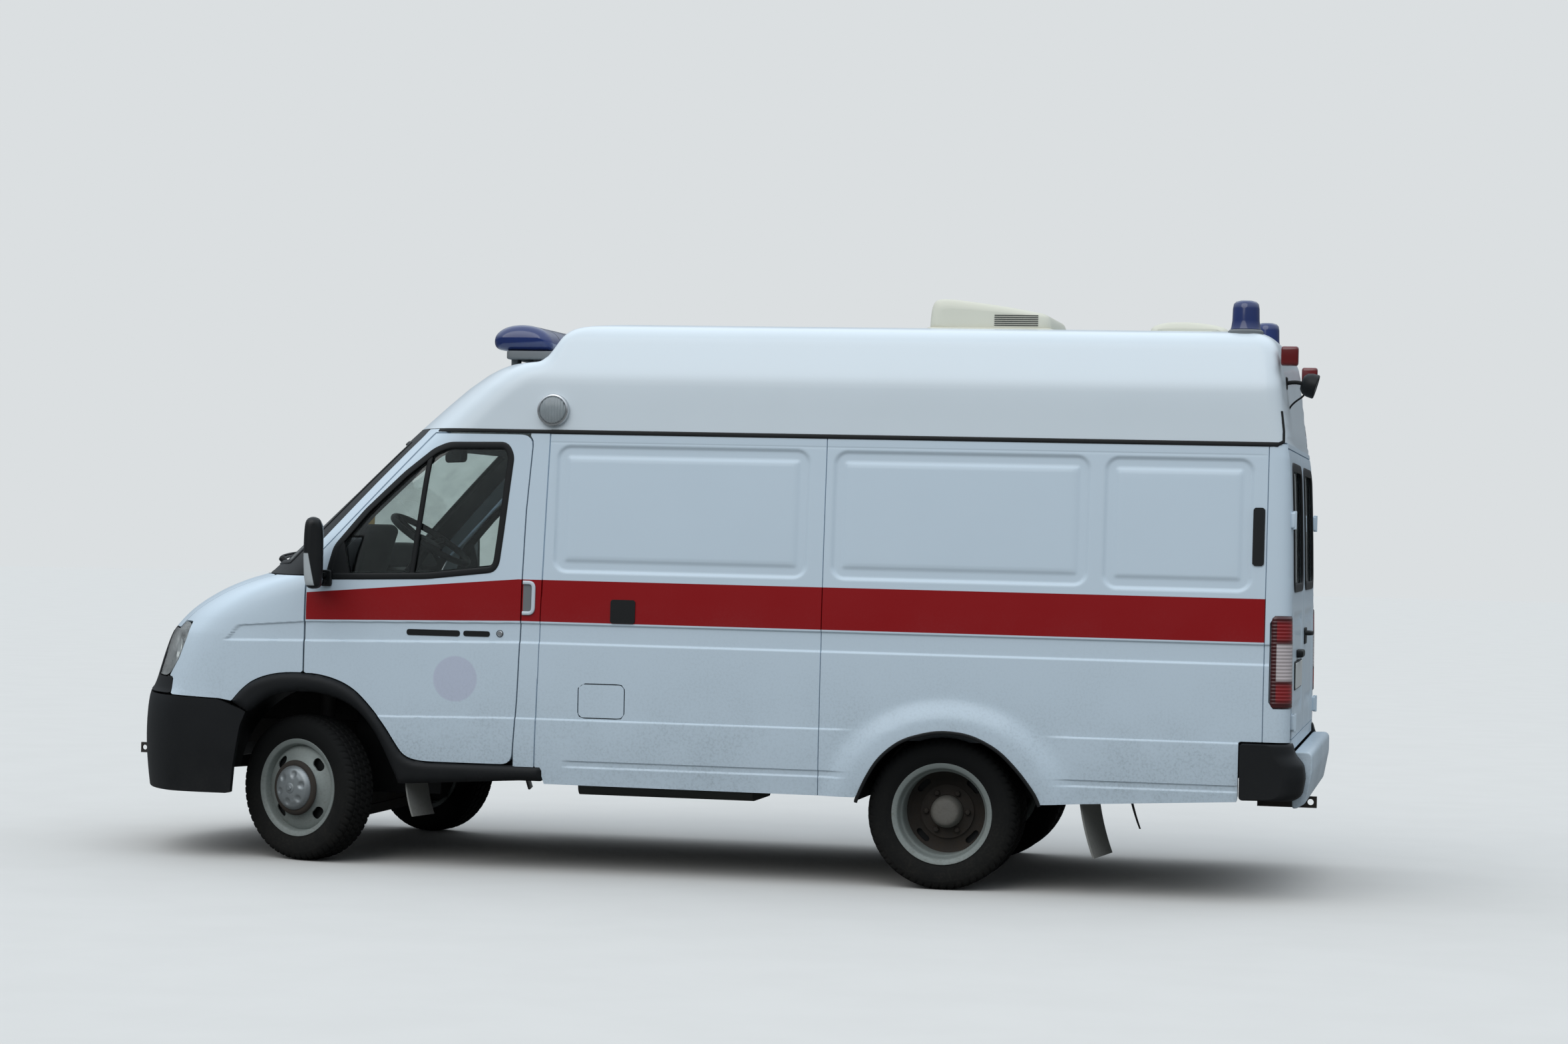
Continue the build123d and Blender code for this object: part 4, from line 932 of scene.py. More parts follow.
def door_edge(gap):
    """Front door's edge in X and Z, moved outwards by gap. It follows the flare 5 mm off."""
    low = beside(FLARE_LINE, 5 - gap)
    low = low[(low[:, 0] > 2 - gap) & (low[:, 0] < 900)]
    low = np.vstack([[(-4 - gap, low[0, 1])], low])
    rear = [(x + gap, z) for x, z in DOOR_REAR]
    rear[0], rear[-1] = (rear[0][0], 1946 + gap), (rear[-1][0], low[-1, 1])
    front = [(-4 - gap, 1300), (48 - 1.4 * gap, 1400), (560 - 1.4 * gap, 1946 + gap)]
    rear = cut_corners([front[-1], rear[0], rear[1]], 55)[5:10].tolist() + rear[1:-1] + \
        cut_corners([rear[-2], rear[-1], low[-1]], 45)[5:10].tolist()
    return low[::-1].tolist() + front + rear


WINDOW = cut_corners([
    (96, 1292), (125, 1425), (260, 1590), (440, 1762), (575, 1868), (640, 1894), (905, 1898),
    (930, 1850), (915, 1700), (895, 1500), (880, 1370), (862, 1342), (560, 1306)], 22)

FLAP_X, FLAP_Z = (1275, 1481), (699, 845)
SIDE_WALL, DOOR_WALL, FLAP_WALL = 40, 42, 9
REAR_CORNER_Y = 928
SKIN_FINE_Z = [(CREASE_Z, 8, 3), (BELT_Z, 6, 2.5), (LOW_CREASE_Z, 7, 3.5), (490, 20, 3), (TOP_LINE_Z, 6, 2),
               (1364, 36, 6), (1875, 36, 6)]


def flap_outline(grow):
    """Fuel flap's edge in X and Z, moved outwards by grow."""
    (x0, x1), (z0, z1) = FLAP_X, FLAP_Z
    return oblong(x0 - grow, x1 + grow, z0 - grow, z1 + grow, 24 + grow, 5)


def stamping_lines(stampings):
    """Groups of fine grid lines over the upright edges of the stamped dishes."""
    return [(e, 34, 7) for x0, x1, _, _ in stampings for e in (x0 + 26, x1 - 26)]


def side_panel(side):
    """Load space side from the door pillar to the rear corner, cut round the front door, the arch, the tail
    lamp, and the fuel flap or the sliding door."""
    zone = [(980, 470), (1112, 470), (1112, SILL_Z), (2500, SILL_Z - 4), (3300, SILL_Z - 8), (4178, 436),
            (4178, 694), (4400, 694), (4400, GUTTER_Z + 2), (560, GUTTER_Z + 2), (560, 1930), (980, 1930)]
    lamp = [(4300, 836), (4300, 1232), (4500, 1232), (4500, 836)]
    opening = [(1096, 1944), (2356, 1944), (2356, 466), (1096, 466)] if side > 0 else flap_outline(5)
    edges = [outside_outline(hole, SIDE_VIEW) for hole in (door_edge(6), REAR_ARCH, lamp, opening)]
    edges += [inside_outline(zone, SIDE_VIEW), lambda p: 935 - np.abs(p[..., 1]) - 600 * (p[..., 0] < 4200)]
    fine_x = [(s, 7, 2.3) for s in SEAM_X] + stamping_lines(STAMPINGS) + [(4370, 30, 6)]
    lines = ruler(560, 4392, 24, fine_x), ruler(385, GUTTER_Z + 6, 24, SKIN_FINE_Z + [(780, 60, 12)])
    skin = side_surface(side)

    def leaning(u, z):
        """The skin with its grid leaning along the door seam and straight again 90 mm away. Round the rear
        corner its points come no nearer to the middle than REAR_CORNER_Y."""
        points = skin(u + pillar_lean(z) * np.clip(1 - np.abs(u - SEAM_X[0]) / 90, 0, 1), z)
        points[..., 1] = side * np.maximum(np.abs(points[..., 1]), REAR_CORNER_Y * (points[..., 0] > 4200))
        return points
    name = side_name(side)
    add_painted("side_panel_" + name, wall_of(leaning, edges, lines, SIDE_WALL), "body", "side_" + name)


def sliding_door_panel():
    """Sliding door of the right side, shut."""
    edges = [inside_outline(oblong(1100, 2352, 1940, 470, 14), SIDE_VIEW)]
    lines = ruler(1090, 2362, 24, stamping_lines(STAMPINGS[:1])), ruler(460, 1950, 24, SKIN_FINE_Z)
    mesh = wall_of(side_surface(1), edges, lines, SIDE_WALL)
    add_painted("sliding_door_panel", mesh, "body", "sliding_door")


def front_door_panel(side):
    """Front door as one wall with its window cut."""
    edges = [inside_outline(door_edge(0), SIDE_VIEW), outside_outline(WINDOW, SIDE_VIEW)]
    fine_z = [(CREASE_Z - 10, 20, 3.5), (BELT_Z - 8, 16, 3), (LOW_CREASE_Z - 8, 14, 3.5)]
    lines = ruler(-20, 1040, 13), ruler(470, 1954, 13, fine_z)
    door = "door_" + side_name(side)
    mesh = wall_of(side_surface(side), edges, lines, DOOR_WALL)
    add_painted("door_panel_" + side_name(side), mesh, door, door)


# Roof

CAP_BOTTOM_Z, CAP_WALL = GUTTER_Z + 9, 26


def roof_cap():
    """High roof as rays round the vehicle's length: one ring of angles at each X, from gutter to gutter."""
    x = np.unique(np.concatenate([
        264 + 420 * np.linspace(0.03, 1, 26) ** 1.6, np.arange(684, 1240, 11), np.arange(1240, 4180, 60),
        np.arange(4180, 4352, 8)]))
    degrees = np.concatenate([np.linspace(0, 50, 44), np.linspace(52, 128, 40), np.linspace(130, 180, 44)])
    grid_x, grid_a = np.meshgrid(x, np.radians(degrees), indexing="ij")
    origin = np.stack([grid_x, np.zeros_like(grid_x), np.full_like(grid_x, CAP_BOTTOM_Z)], -1)
    way = np.stack([np.zeros_like(grid_a), -np.cos(grid_a), np.sin(grid_a)], -1)
    outer, inner = (cast(origin, way, 0, 1300, inset).reshape(-1, 3) for inset in (0, CAP_WALL))
    mesh = shell(outer, [grid_faces(*grid_x.shape), np.zeros((0, 3), int)], inner)
    add_piece("roof_shell", mesh, "roof_shell", "body", "roof_cap")


# Nose

BONNET_SIDE, BONNET_REAR_X, BONNET_BOW, BONNET_LIP_Z = 862, -462, 250, 1040
BONNET_WALL, WING_WALL, BUMPER_WALL, GRILLE_WALL = 16, 14, 30, 40
NOSE_AXIS_X, CAB_AXIS_X = -150, 900
LAMP_HOLE = [(-585, 1071), (-597, 1000), (-635, 900), (-690, 817), (-1200, 817), (-1200, 1071)]
HEADLAMP_IN_Y, WING_TOP_Z = 560, 1292
BUMPER_OUTLINE = [
    (-1300, 300), (-1300, 737), (-642, 732), (-410, 724), (-350, 700), (-276, 676), (-305, 608), (-337, 431),
    (-350, 300)]
GRILLE_Z = (745, 1034)


def bonnet_plan(gap):
    """Bonnet's edge from above, in X and Y: narrower at the front, bowed at the rear."""
    y = np.linspace(-1, 1, 15)
    rear = np.stack([BONNET_REAR_X + gap + BONNET_BOW * y ** 2, (BONNET_SIDE + gap) * y], -1)
    left, right = [(-1300, -660 - gap), (-760, -790 - gap)], [(-760, 790 + gap), (-1300, 660 + gap)]
    return np.vstack([left, rear, right])


def outside_bonnet(gap):
    """Negative outside the bonnet's edge, or anywhere below its lip."""
    plan = inside_outline(bonnet_plan(gap), TOP_VIEW)
    return lambda p: np.minimum(-plan(p), p[..., 2] - GRILLE_Z[1])


def upward(x, y):
    """Form's top over X and Y, by rays straight up."""
    origin = np.stack([x, y, np.full_like(x, 700.0)], -1)
    return cast(origin, np.array([0.0, 0.0, 1.0]), 0, 900)


def bonnet_panel():
    """Bonnet: the form's top inside its plan, down to its lip over the grille."""
    edges = [inside_outline(bonnet_plan(0), TOP_VIEW), lambda p: BONNET_LIP_Z - p[..., 2]]
    lines = ruler(-960, -190, 14), ruler(-875, 875, 16)
    add_painted("bonnet_panel", wall_of(upward, edges, lines, BONNET_WALL), "bonnet", "bonnet")


def nose_surface(x_centre):
    """Form's front as rays from an upright axis: the first parameter is the angle, the second the height."""
    def surface(angle, z):
        origin = np.stack([np.full_like(z, float(x_centre)), np.zeros_like(z), z], -1)
        way = np.stack([-np.cos(angle), np.sin(angle), np.zeros_like(angle)], -1)
        return cast(origin, way, 0, 1400)
    return surface


NOSE, CAB_FRONT = nose_surface(NOSE_AXIS_X), nose_surface(CAB_AXIS_X)


def wing_panel(side):
    """Front wing: rays out of a line along the vehicle, by X and angle."""
    def surface(x, angle):
        origin = np.stack([x, np.full_like(x, side * 450.0), np.full_like(x, 900.0)], -1)
        way = np.stack([np.zeros_like(angle), side * np.cos(angle), np.sin(angle)], -1)
        skin = cast(origin, way, 0, 800)
        return skin + side_relief(skin[..., 0], skin[..., 2])[..., None] * outward(skin)
    below = [*beside(FLARE_LINE, 4)[::-1].tolist(), (-406, 729), (-642, 737), (-1300, 742), (-1300, 200),
             (1112, 200)]
    edges = [lambda p: p[..., 0] + 12, outside_outline(below, SIDE_VIEW), outside_bonnet(6),
             outside_outline(LAMP_HOLE, SIDE_VIEW), lambda p: p[..., 2] - WING_TOP_Z,
             lambda p: np.minimum(-660 - p[..., 0], 817 - p[..., 2]), lambda p: 700 - np.abs(p[..., 1])]
    lines = ruler(-900, 0, 10), ruler(-0.6, 1.2, 0.018, [(0.235, 0.12, 0.006)])
    add_painted("wing_panel_" + side_name(side), wall_of(surface, edges, lines, WING_WALL), "body", "wings")


def lamp_inner_y(z):
    """Half width where the headlamp begins: it leans out towards its foot."""
    return HEADLAMP_IN_Y + 6 + 1.35 * np.clip(1026 - z, 0, 118)


def grille_cheek(side):
    """Black corner of the grille, between it and the headlamp and below that."""
    edges = [lambda p: 742 - p[..., 2], lambda p: p[..., 2] - GRILLE_Z[1], lambda p: p[..., 0] + 664,
             lambda p: HEADLAMP_IN_Y + 1 - side * p[..., 1],
             lambda p: np.minimum(side * p[..., 1] - lamp_inner_y(p[..., 2]) + 4, p[..., 2] - 813)]
    lines = np.sort(side * ruler(0.5, 1.35, 0.018)), ruler(738, 1040, 8)
    return wall_of(NOSE, edges, lines, BUMPER_WALL, 1)


def add_cheeks():
    """Black corners of the grille, on both sides."""
    add_piece("grille_cheeks", both(grille_cheek), "black_plastic", "body")


def add_radiator():
    """Dark core behind grille and bumper, and the blank plate on the bumper."""
    core = block((-800, -540, 380), (-772, 540, 1016), 6)
    shelf = block((-925, -400, 386), (-780, 400, 394), 2)
    add_piece("radiator_core", merged(core, shelf), "rubber", "body")
    edges = [inside_outline(oblong(-260, 260, 540, 652, 10), FRONT_VIEW)]
    plate = wall_of(NOSE, edges, (ruler(-0.4, 0.4, 0.02), ruler(536, 656, 12)), 2, 5)
    add_piece("front_plate", plate, "plate_white", "body")


def front_bumper_shell():
    """Front bumper with its low air opening."""
    opening = outside_outline(oblong(-420, 420, 400, 500, 20), FRONT_VIEW)
    lines = ruler(-1.62, 1.62, 0.022), ruler(290, 742, 14)
    mesh = wall_of(NOSE, [inside_outline(BUMPER_OUTLINE, SIDE_VIEW), opening], lines, BUMPER_WALL)
    add_piece("front_bumper_shell", mesh, "black_plastic", "body", "front_bumper")


def grille_frame():
    """Grille with four long slots."""
    edges = [lambda p: GRILLE_Z[0] - p[..., 2], lambda p: p[..., 2] - GRILLE_Z[1],
             lambda p: np.abs(p[..., 1]) - HEADLAMP_IN_Y + 3]
    edges += [outside_outline(oblong(-520, 520, z, z + 36, 12), FRONT_VIEW) for z in (790, 846, 902, 958)]
    mesh = wall_of(NOSE, edges, (ruler(-0.75, 0.75, 0.02), ruler(740, 1040, 6)), GRILLE_WALL)
    add_piece("grille_frame", mesh, "black_plastic", "body", "grille")


# Black trim of the sides

TRIM_OUTLINE = np.vstack([FLARE_LINE, [(1112, 409), (1010, 409)], FLARE_INNER])
TRIM_RISE, TRIM_ROUND, TRIM_WALL = 18, 36, 46


def on_side(side, x, z, lift=0.0):
    """Points of the side's skin at X and Z, moved out by lift, with the normals there."""
    x, z = np.broadcast_arrays(np.asarray(x, float), np.asarray(z, float))
    skin = side_surface(side)(x, z)
    normal = outward(skin)
    return skin + lift * normal, normal


def skin_bead(side, line, gap, lift, section, closed=False):
    """Section carried along the side's skin, moved out by lift, under a line of X, Z corners."""
    flat = along_line(line, gap, closed)
    return swept(*on_side(side, flat[:, 0], flat[:, 1], lift), section, closed)


def skin_plate(side, outline, lift, sink, gap=6.0):
    """Plate that follows the side's skin under an outline in X and Z: lift out of it and sink into it."""
    ring = np.asarray(outline, float)
    (x0, z0), (x1, z1) = ring.min(0) - 2, ring.max(0) + 2
    lines = ruler(x0, x1, gap), ruler(z0, z1, gap)
    return wall_of(side_surface(side), [inside_outline(ring, SIDE_VIEW)], lines, sink, lift)


def trim_relief(x, z):
    """Flare and sill: they rise from their edges as a quarter ellipse."""
    points = np.stack([x, np.zeros_like(x), z], -1)
    return 1.0 + TRIM_RISE * rounded_in(-inside_outline(TRIM_OUTLINE, SIDE_VIEW)(points), TRIM_ROUND)


def side_trim(side):
    """Black flare round the front arch, running on as the sill below the door."""
    lines = ruler(-360, 1118, 11), ruler(366, 866, 11)
    return wall_of(side_surface(side, trim_relief), [inside_outline(TRIM_OUTLINE, SIDE_VIEW)], lines, TRIM_WALL)


def mud_flap(top, bottom, y_near, y_far, twist, thick=9):
    """Hanging flap between two X, Z points, bowed a little, its inner end further to the rear by the twist."""
    t = np.linspace(0, 1, 12)[:, None]
    line = (1 - t) * np.array(top) + t * np.array(bottom) - np.array([[7.0, 0.0]]) * t * (1 - t) * 4
    ring = oblong(-y_far, -y_near, -thick / 2, thick / 2, 3, 2)
    rings = np.empty((len(line), len(ring), 3))
    rings[..., 0] = line[:, :1] + ring[:, 1] + twist * (y_far + ring[:, 0])
    rings[..., 1] = ring[:, 0]
    rings[..., 2] = line[:, 1:]
    return lofted(rings)


def carried_across(ring, low, high):
    """Skin over copies of an X, Z outline, from Y low to high."""
    y = np.linspace(low, high, 6)
    rings = np.empty((len(y), len(ring), 3))
    rings[..., 0], rings[..., 2] = ring[:, 0], ring[:, 1]
    rings[..., 1] = y[:, None]
    return lofted(rings)


def front_liner(radius=462, thick=8):
    """Liner over the left front wheel, from an arc about the axle, with its inner wall and its foot."""
    angle = np.radians(np.linspace(12, 172, 40))
    arc = np.stack([np.cos(angle), np.sin(angle)], -1)
    ring = np.concatenate([radius * arc, (radius + thick) * arc[::-1]]) + (0, AXLE_Z)
    wall = block((92, -552, 296), (500, -544, 660), 2)
    foot = block((930, -984, 440), (1034, -962, 520), 4)
    return merged(carried_across(ring, -985, -590), wall, foot)


def rear_liner():
    """Liner over the left twin wheels: from 8 to 16 mm outside the arch's own line, with an inner wall."""
    away = ARCH_LINE - (2930, AXLE_Z)
    away = away / np.linalg.norm(away, axis=1, keepdims=True)
    ring = np.vstack([ARCH_LINE + 16 * away, (ARCH_LINE + 8 * away)[::-1]])
    return merged(carried_across(ring, -1000, -566), slab(ARCH_LINE, 1, -566, -560, 1, 2))


def add_trim():
    """Flares and sills with the liners over the wheels, and the four mud flaps."""
    liners = merged(front_liner(), rear_liner())
    trim = both(lambda side: merged(side_trim(side), on_side_of(liners, side)))
    add_piece("side_trim", trim, "black_plastic", "body", "trim")
    flaps = merged(mud_flap((470, 400), (506, 226), 790, 985, 0.2),
                   mud_flap((3505, 400), (3566, 165), 640, 975, 0.13))
    add_piece("mud_flaps", twinned(flaps), "dusty_plastic", "body", "trim")


def rubber_edges():
    """Rubber lips: along the gutter, in the seam beside the rear doors, and round the rear arch."""
    lips = [([(1110, GUTTER_Z), (2400, GUTTER_Z), (4315, GUTTER_Z)], 30, -2, bead(20, 8, 2)),
            ([(575, GUTTER_Z), (1110, GUTTER_Z)], 24, -2, bead(17, 8, 2)),
            ([(4312, GUTTER_Z), (4336, 1972), (4335, 2020), (4324, 2105)], 14, -2, bead(15, 8, 2)),
            (ARCH_LINE, 14, 2, bead(15, 10, 4))]
    add_rubber("rubber_edges", both(lambda side: merged(*[skin_bead(side, *lip) for lip in lips])), "body")


# Glass and its seals

SCREEN = np.vstack([
    np.stack([np.linspace(-838, 838, 25), 1336 + 16 * np.linspace(-1, 1, 25) ** 2], -1),
    np.stack([np.linspace(752, -752, 25), 1916 - 14 * np.linspace(-1, 1, 25) ** 2], -1)])
SCREEN = cut_corners(SCREEN, 1)
REAR_WINDOW = [(-812, 1348), (-806, 1872), (-120, 1872), (-120, 1348)]
TAIL_AXIS_X, GLASS, CAB_WALL = 4000, 5, 30


def screen_frame(part):
    """Cab front between bonnet, doors and roof. part picks the painted pillars or the black cowl with the
    band beside the screen."""
    in_screen = inside_outline(SCREEN, FRONT_VIEW)

    def black(p):
        return np.minimum(in_screen(p) - 104, p[..., 2] - 1388)
    edges = [lambda p: 1297 - p[..., 2], lambda p: p[..., 2] - 1967, lambda p: p[..., 0] - 618,
             outside_outline(door_edge(6), SIDE_VIEW), outside_of(in_screen),
             outside_outline(bonnet_plan(8), TOP_VIEW), black if part == "black" else outside_of(black)]
    return wall_of(CAB_FRONT, edges, (ruler(-1.34, 1.34, 0.014), ruler(1290, 1970, 11)), CAB_WALL)


def add_cab_frame():
    """Painted pillars, black cowl and the wall behind the engine."""
    add_painted("cab_front_frame", screen_frame("paint"), "body", "cab_frame")
    add_rubber("cowl", screen_frame("black"), "body", "cab_frame")
    wall = block((-130, -955, 836), (-105, 955, 1240), 4)
    add_piece("cab_front_wall", wall, "inner_paint", "body", "cab_frame")


def pane(surface, outline, view, lines, inset):
    """Glass inset behind the body's form."""
    return wall_of(surface, [inside_outline(outline, view)], lines, inset + GLASS, -inset)


def on_screen(y, z, reach):
    """Points of the cab's front at Y and Z, with the normals there. The rays' angles are mended four times,
    from a first guess at how far ahead the points lie."""
    angle = np.arctan2(y, reach)
    for _ in range(4):
        skin = CAB_FRONT(angle, z)
        angle = np.arctan2(y, CAB_AXIS_X - skin[..., 0])
    skin = CAB_FRONT(angle, z)
    return skin, outward(skin)


def add_windscreen():
    """Screen's pane with its rubber seal."""
    lines = ruler(-1.2, 1.2, 0.03), ruler(1330, 1920, 20)
    glass = pane(CAB_FRONT, SCREEN * (1.012, 1), FRONT_VIEW, lines, 9)
    add_piece("windscreen_pane", glass, "clear_glass", "body", "windscreen")
    seal = swept(*on_screen(*along_line(SCREEN, 16, True).T, 640), bead(26, 10, 5), True)
    add_rubber("windscreen_seal", seal, "body")


def add_door_glass(side):
    """Front door's pane, with its seal, the bar in the window, the lining and the mirror's corner."""
    name = side_name(side)
    door = "door_" + name
    plain = side_surface(side, lambda x, z: np.zeros_like(x))
    glass = pane(plain, grown(WINDOW, 1.02), SIDE_VIEW, (ruler(60, 960, 20), ruler(1260, 1920, 20)), 14)
    add_piece("door_pane_" + name, glass, "clear_glass", door, "door_glass_" + name)
    seal = skin_bead(side, WINDOW, 11, 0, bead(30, 10, 6), True)
    bar = skin_bead(side, [(553, 1856), (485, 1300)], 20, -9, bead(24, 14, 4))
    lining = skin_bead(side, WINDOW, 11, -26, bead(44, 34, 22), True)
    corner = skin_plate(side, [(96, 1292), (197, 1302), (158, 1470), (125, 1425)], 2, 16)
    add_rubber("door_seal_" + name, merged(seal, bar, lining, corner), door)


def tail_surface(y, z):
    """Form's rear over Y and Z, by rays straight back."""
    origin = np.stack([np.full_like(y, float(TAIL_AXIS_X)), y, z], -1)
    return cast(origin, np.array([1.0, 0.0, 0.0]), 0, 500)


def tail_x(y, z):
    """X of the form's rear at one Y and Z."""
    return float(tail_surface(np.array(float(y)), np.array(float(z)))[0])


REAR_DOOR_Y, REAR_DOOR_Z = (4, 930), (705, 1942)
REAR_PRESSING = (-806, -120, 800, 1236)


def add_rear_door(side):
    """Rear door with its window, the pressing below it, pane, seal and hinges."""
    name = side_name(side)
    door = "rear_door_" + name
    (y0, y1), (z0, z1) = REAR_DOOR_Y, REAR_DOOR_Z

    def surface(y, z):
        skin = tail_surface(y, z)
        inside = rounded_rectangle(-np.abs(y), z, REAR_PRESSING, 50)
        relief = -7 * step(inside, 0, 12) + 5 * step(inside, 34, 52)
        return skin + relief[..., None] * outward(skin)
    flip = (-side, 1)
    outline = cut_corners([(-y1, z0), (-y1, z1), (-y0, z1), (-y0, z0)], 16)
    window = cut_corners(REAR_WINDOW, 60)
    edges = [inside_outline(outline * flip, FRONT_VIEW), outside_outline(window * flip, FRONT_VIEW)]
    lines = np.sort(-side * ruler(-940, 0, 14)), ruler(695, 1950, 14)
    add_painted("rear_panel_" + name, wall_of(surface, edges, lines, SIDE_WALL), door, door)
    lines = np.sort(-side * ruler(-860, -80, 26)), ruler(1330, 1890, 26)
    glass = pane(tail_surface, grown(window, 1.03) * flip, FRONT_VIEW, lines, 8)
    add_piece("rear_pane_" + name, glass, "clear_glass", door, "rear_door_glass_" + name)
    path = tail_surface(*(along_line(window, 12, True) * flip).T)
    add_rubber("rear_seal_" + name, swept(path, outward(path), bead(38, 14, 7), True), door)
    hinges = []
    for z in (777, 1640):
        x = tail_x(922, z)
        leaf = block((x - 6, -952, z - 34), (x + 14, -880, z + 34), 5, 8, 0)
        pin = turned([(7, 0), (9, 2), (9, 76), (7, 78)], (x + 12, -938, z - 39), (0, 0, 1), 16)
        hinges += [leaf, pin]
    add_painted("rear_hinges_" + name, on_side_of(merged(*hinges), side), door)


def add_rear_fittings():
    """Handle on the right-hand rear door, and the blank number plate on the other."""
    x = tail_x(100, 1120)
    grip = merged(block((x - 2, 40, 1085), (x + 6, 205, 1160), 3, 16, 0),
                  tube([(x + 2, 60, 1135), (x + 30, 66, 1135), (x + 30, 180, 1135), (x + 2, 186, 1135)], 10))
    add_rubber("rear_handle", grip, "rear_door_right")
    x = tail_x(-470, 960)
    holder = block((x - 12, -735, 905), (x + 3, -205, 1030), 3, 8, 0)
    light = block((x - 10, -560, 1042), (x + 26, -380, 1076), 9, 12, 0)
    add_rubber("plate_holder", merged(holder, light), "rear_door_left")
    plate = block((x + 3, -730, 911), (x + 6, -210, 1023), 1.4, 10, 0)
    add_piece("rear_plate", plate, "plate_white", "rear_door_left")


# Lamps

TAIL_LAMP = cut_corners([(4307, 838), (4307, 1231), (4460, 1231), (4460, 838)], 20)
TAIL_LAMP_IN_Y, TAIL_LAMP_AXIS, TAIL_LAMP_WALL = 962, (4180.0, 850.0), 34


def tail_lamp(side):
    """Tall lamp round a rear corner, 5 mm proud with rounded edges, by rays from an upright axis."""
    edges = [inside_outline(TAIL_LAMP, SIDE_VIEW), lambda p: TAIL_LAMP_IN_Y - np.abs(p[..., 1])]
    axis_x, axis_y = TAIL_LAMP_AXIS

    def surface(angle, z):
        origin = np.stack([np.full_like(z, axis_x), np.full_like(z, side * axis_y), z], -1)
        way = np.stack([np.cos(angle), side * np.sin(angle), np.zeros_like(angle)], -1)
        skin = cast(origin, way, 0, 420)
        return skin + (6 * rounded_in(-all_of(*edges)(skin), 14) - 1)[..., None] * outward(skin)
    return wall_of(surface, edges, (ruler(0.2, 1.35, 0.03), ruler(830, 1240, 5)), TAIL_LAMP_WALL)


def add_tail_lamps():
    """Tall lamps of both rear corners."""
    add_piece("tail_lenses", both(tail_lamp), "tail_lens", "body", "tail_lamps")


LAMP_OUTLINE = cut_corners([
    (-586, 1066), (-600, 1000), (-640, 900), (-698, 818), (-1060, 822), (-1060, 1066)], 40)


def headlamp(side):
    """Clear lens of a headlamp, and its silver bowl with a wall round it and two round reflectors in it."""
    edges = [inside_outline(LAMP_OUTLINE, SIDE_VIEW), outside_bonnet(6),
             lambda p: lamp_inner_y(p[..., 2]) - side * p[..., 1]]
    points, faces = trimmed(NOSE, all_of(*edges), np.sort(side * ruler(0.4, 1.35, 0.02)), ruler(815, 1075, 9))
    normal = outward(points)
    lens = shell(points - 2 * normal, faces, points - 6 * normal)
    strips = edge_strips(faces, len(points))
    wall = np.vstack([points - 3 * normal, points - 50 * normal]), [strips, strips[:, ::-1]]
    bowl = [shell(points - 46 * normal, faces, points - 52 * normal), wall]
    for turn, z, r in ((0.84, 976, 52), (1.0, 938, 58)):
        skin = NOSE(np.array([side * turn]), np.array([float(z)]))
        up = outward(skin)[0]
        cup = [(r, 0), (r - 3, 3), (r - 5, -2), (r * 0.72, -20), (r * 0.3, -30), (r * 0.3, -36), (r * 0.8, -26),
               (r, -6)]
        bowl.append(turned(cup, skin[0] - 32 * up, up + (-0.92, side * 0.39, 0.0), 40, True))
    return lens, merged(*bowl)


def add_headlamps():
    """Clear lenses over silver bowls."""
    lenses, bowls = zip(*[headlamp(side) for side in SIDES])
    add_piece("headlamp_lenses", merged(*lenses), "lamp_glass", "body", "headlamps")
    add_piece("headlamp_bowls", merged(*bowls), "lamp_silver", "body", sharp=60)


def add_roof_lamps():
    """Round ribbed lamps over the pillars, red markers, and the work lamp over the rear doors."""
    def pillar_lamps(profile, ring=False):
        return both(lambda side: turned(profile, (1117, side * 985, 2056), (0, side, 0.06), 48, ring))
    lens = [(61, -4), (61, 16), (56, 24), (40, 29), (20, 31), (4, 31)]
    add_piece("side_lamp_lenses", pillar_lamps(lens), "ribbed_lens", "body", "side_lamps")
    rim = [(60, -6), (73, -6), (73, 10), (70, 19), (64, 22), (60, 18)]
    add_piece("side_lamp_rims", pillar_lamps(rim, True), "lamp_silver", "body", "side_lamps")
    markers = twinned(block((4312, -900, 2302), (4386, -852, 2386), 10, 16, 0))
    add_piece("rear_markers", markers, "red_lens", "body", "marker_lamps")
    aim = (1.0, 0, -0.3)
    housing = [(8, -46), (30, -44), (46, -30), (53, -8), (54, 18), (51, 22), (47, 22), (46, 14), (4, 12)]
    lamp = merged(turned(housing, (4426, -500, 2236), aim, 40),
                  tube([(4296, -500, 2240), (4350, -500, 2252), (4392, -500, 2244)], 9),
                  block((4300, -530, 2216), (4322, -470, 2272), 5, 10, 0),
                  tube([(4392, -446, 2240), (4400, -430, 2200), (4340, -420, 2160), (4318, -420, 2120)], 4))
    add_rubber("work_lamp_body", lamp, "body", "work_lamp")
    glass = turned([(46, 0), (44, 4), (4, 6)], (4440, -500, 2232), aim, 40)
    add_piece("work_lamp_glass", glass, "lamp_silver", "body", "work_lamp")


LIGHT_BAR = rounded([
    (800, 2340), (962, 2340), (986, 2346), (993, 2372), (972, 2422), (918, 2452), (840, 2463), (768, 2452),
    (720, 2420), (709, 2380), (722, 2348), (770, 2340), (800, 2340)])[:-1]
BEACON_PLACE = (4150, 745, 2462)


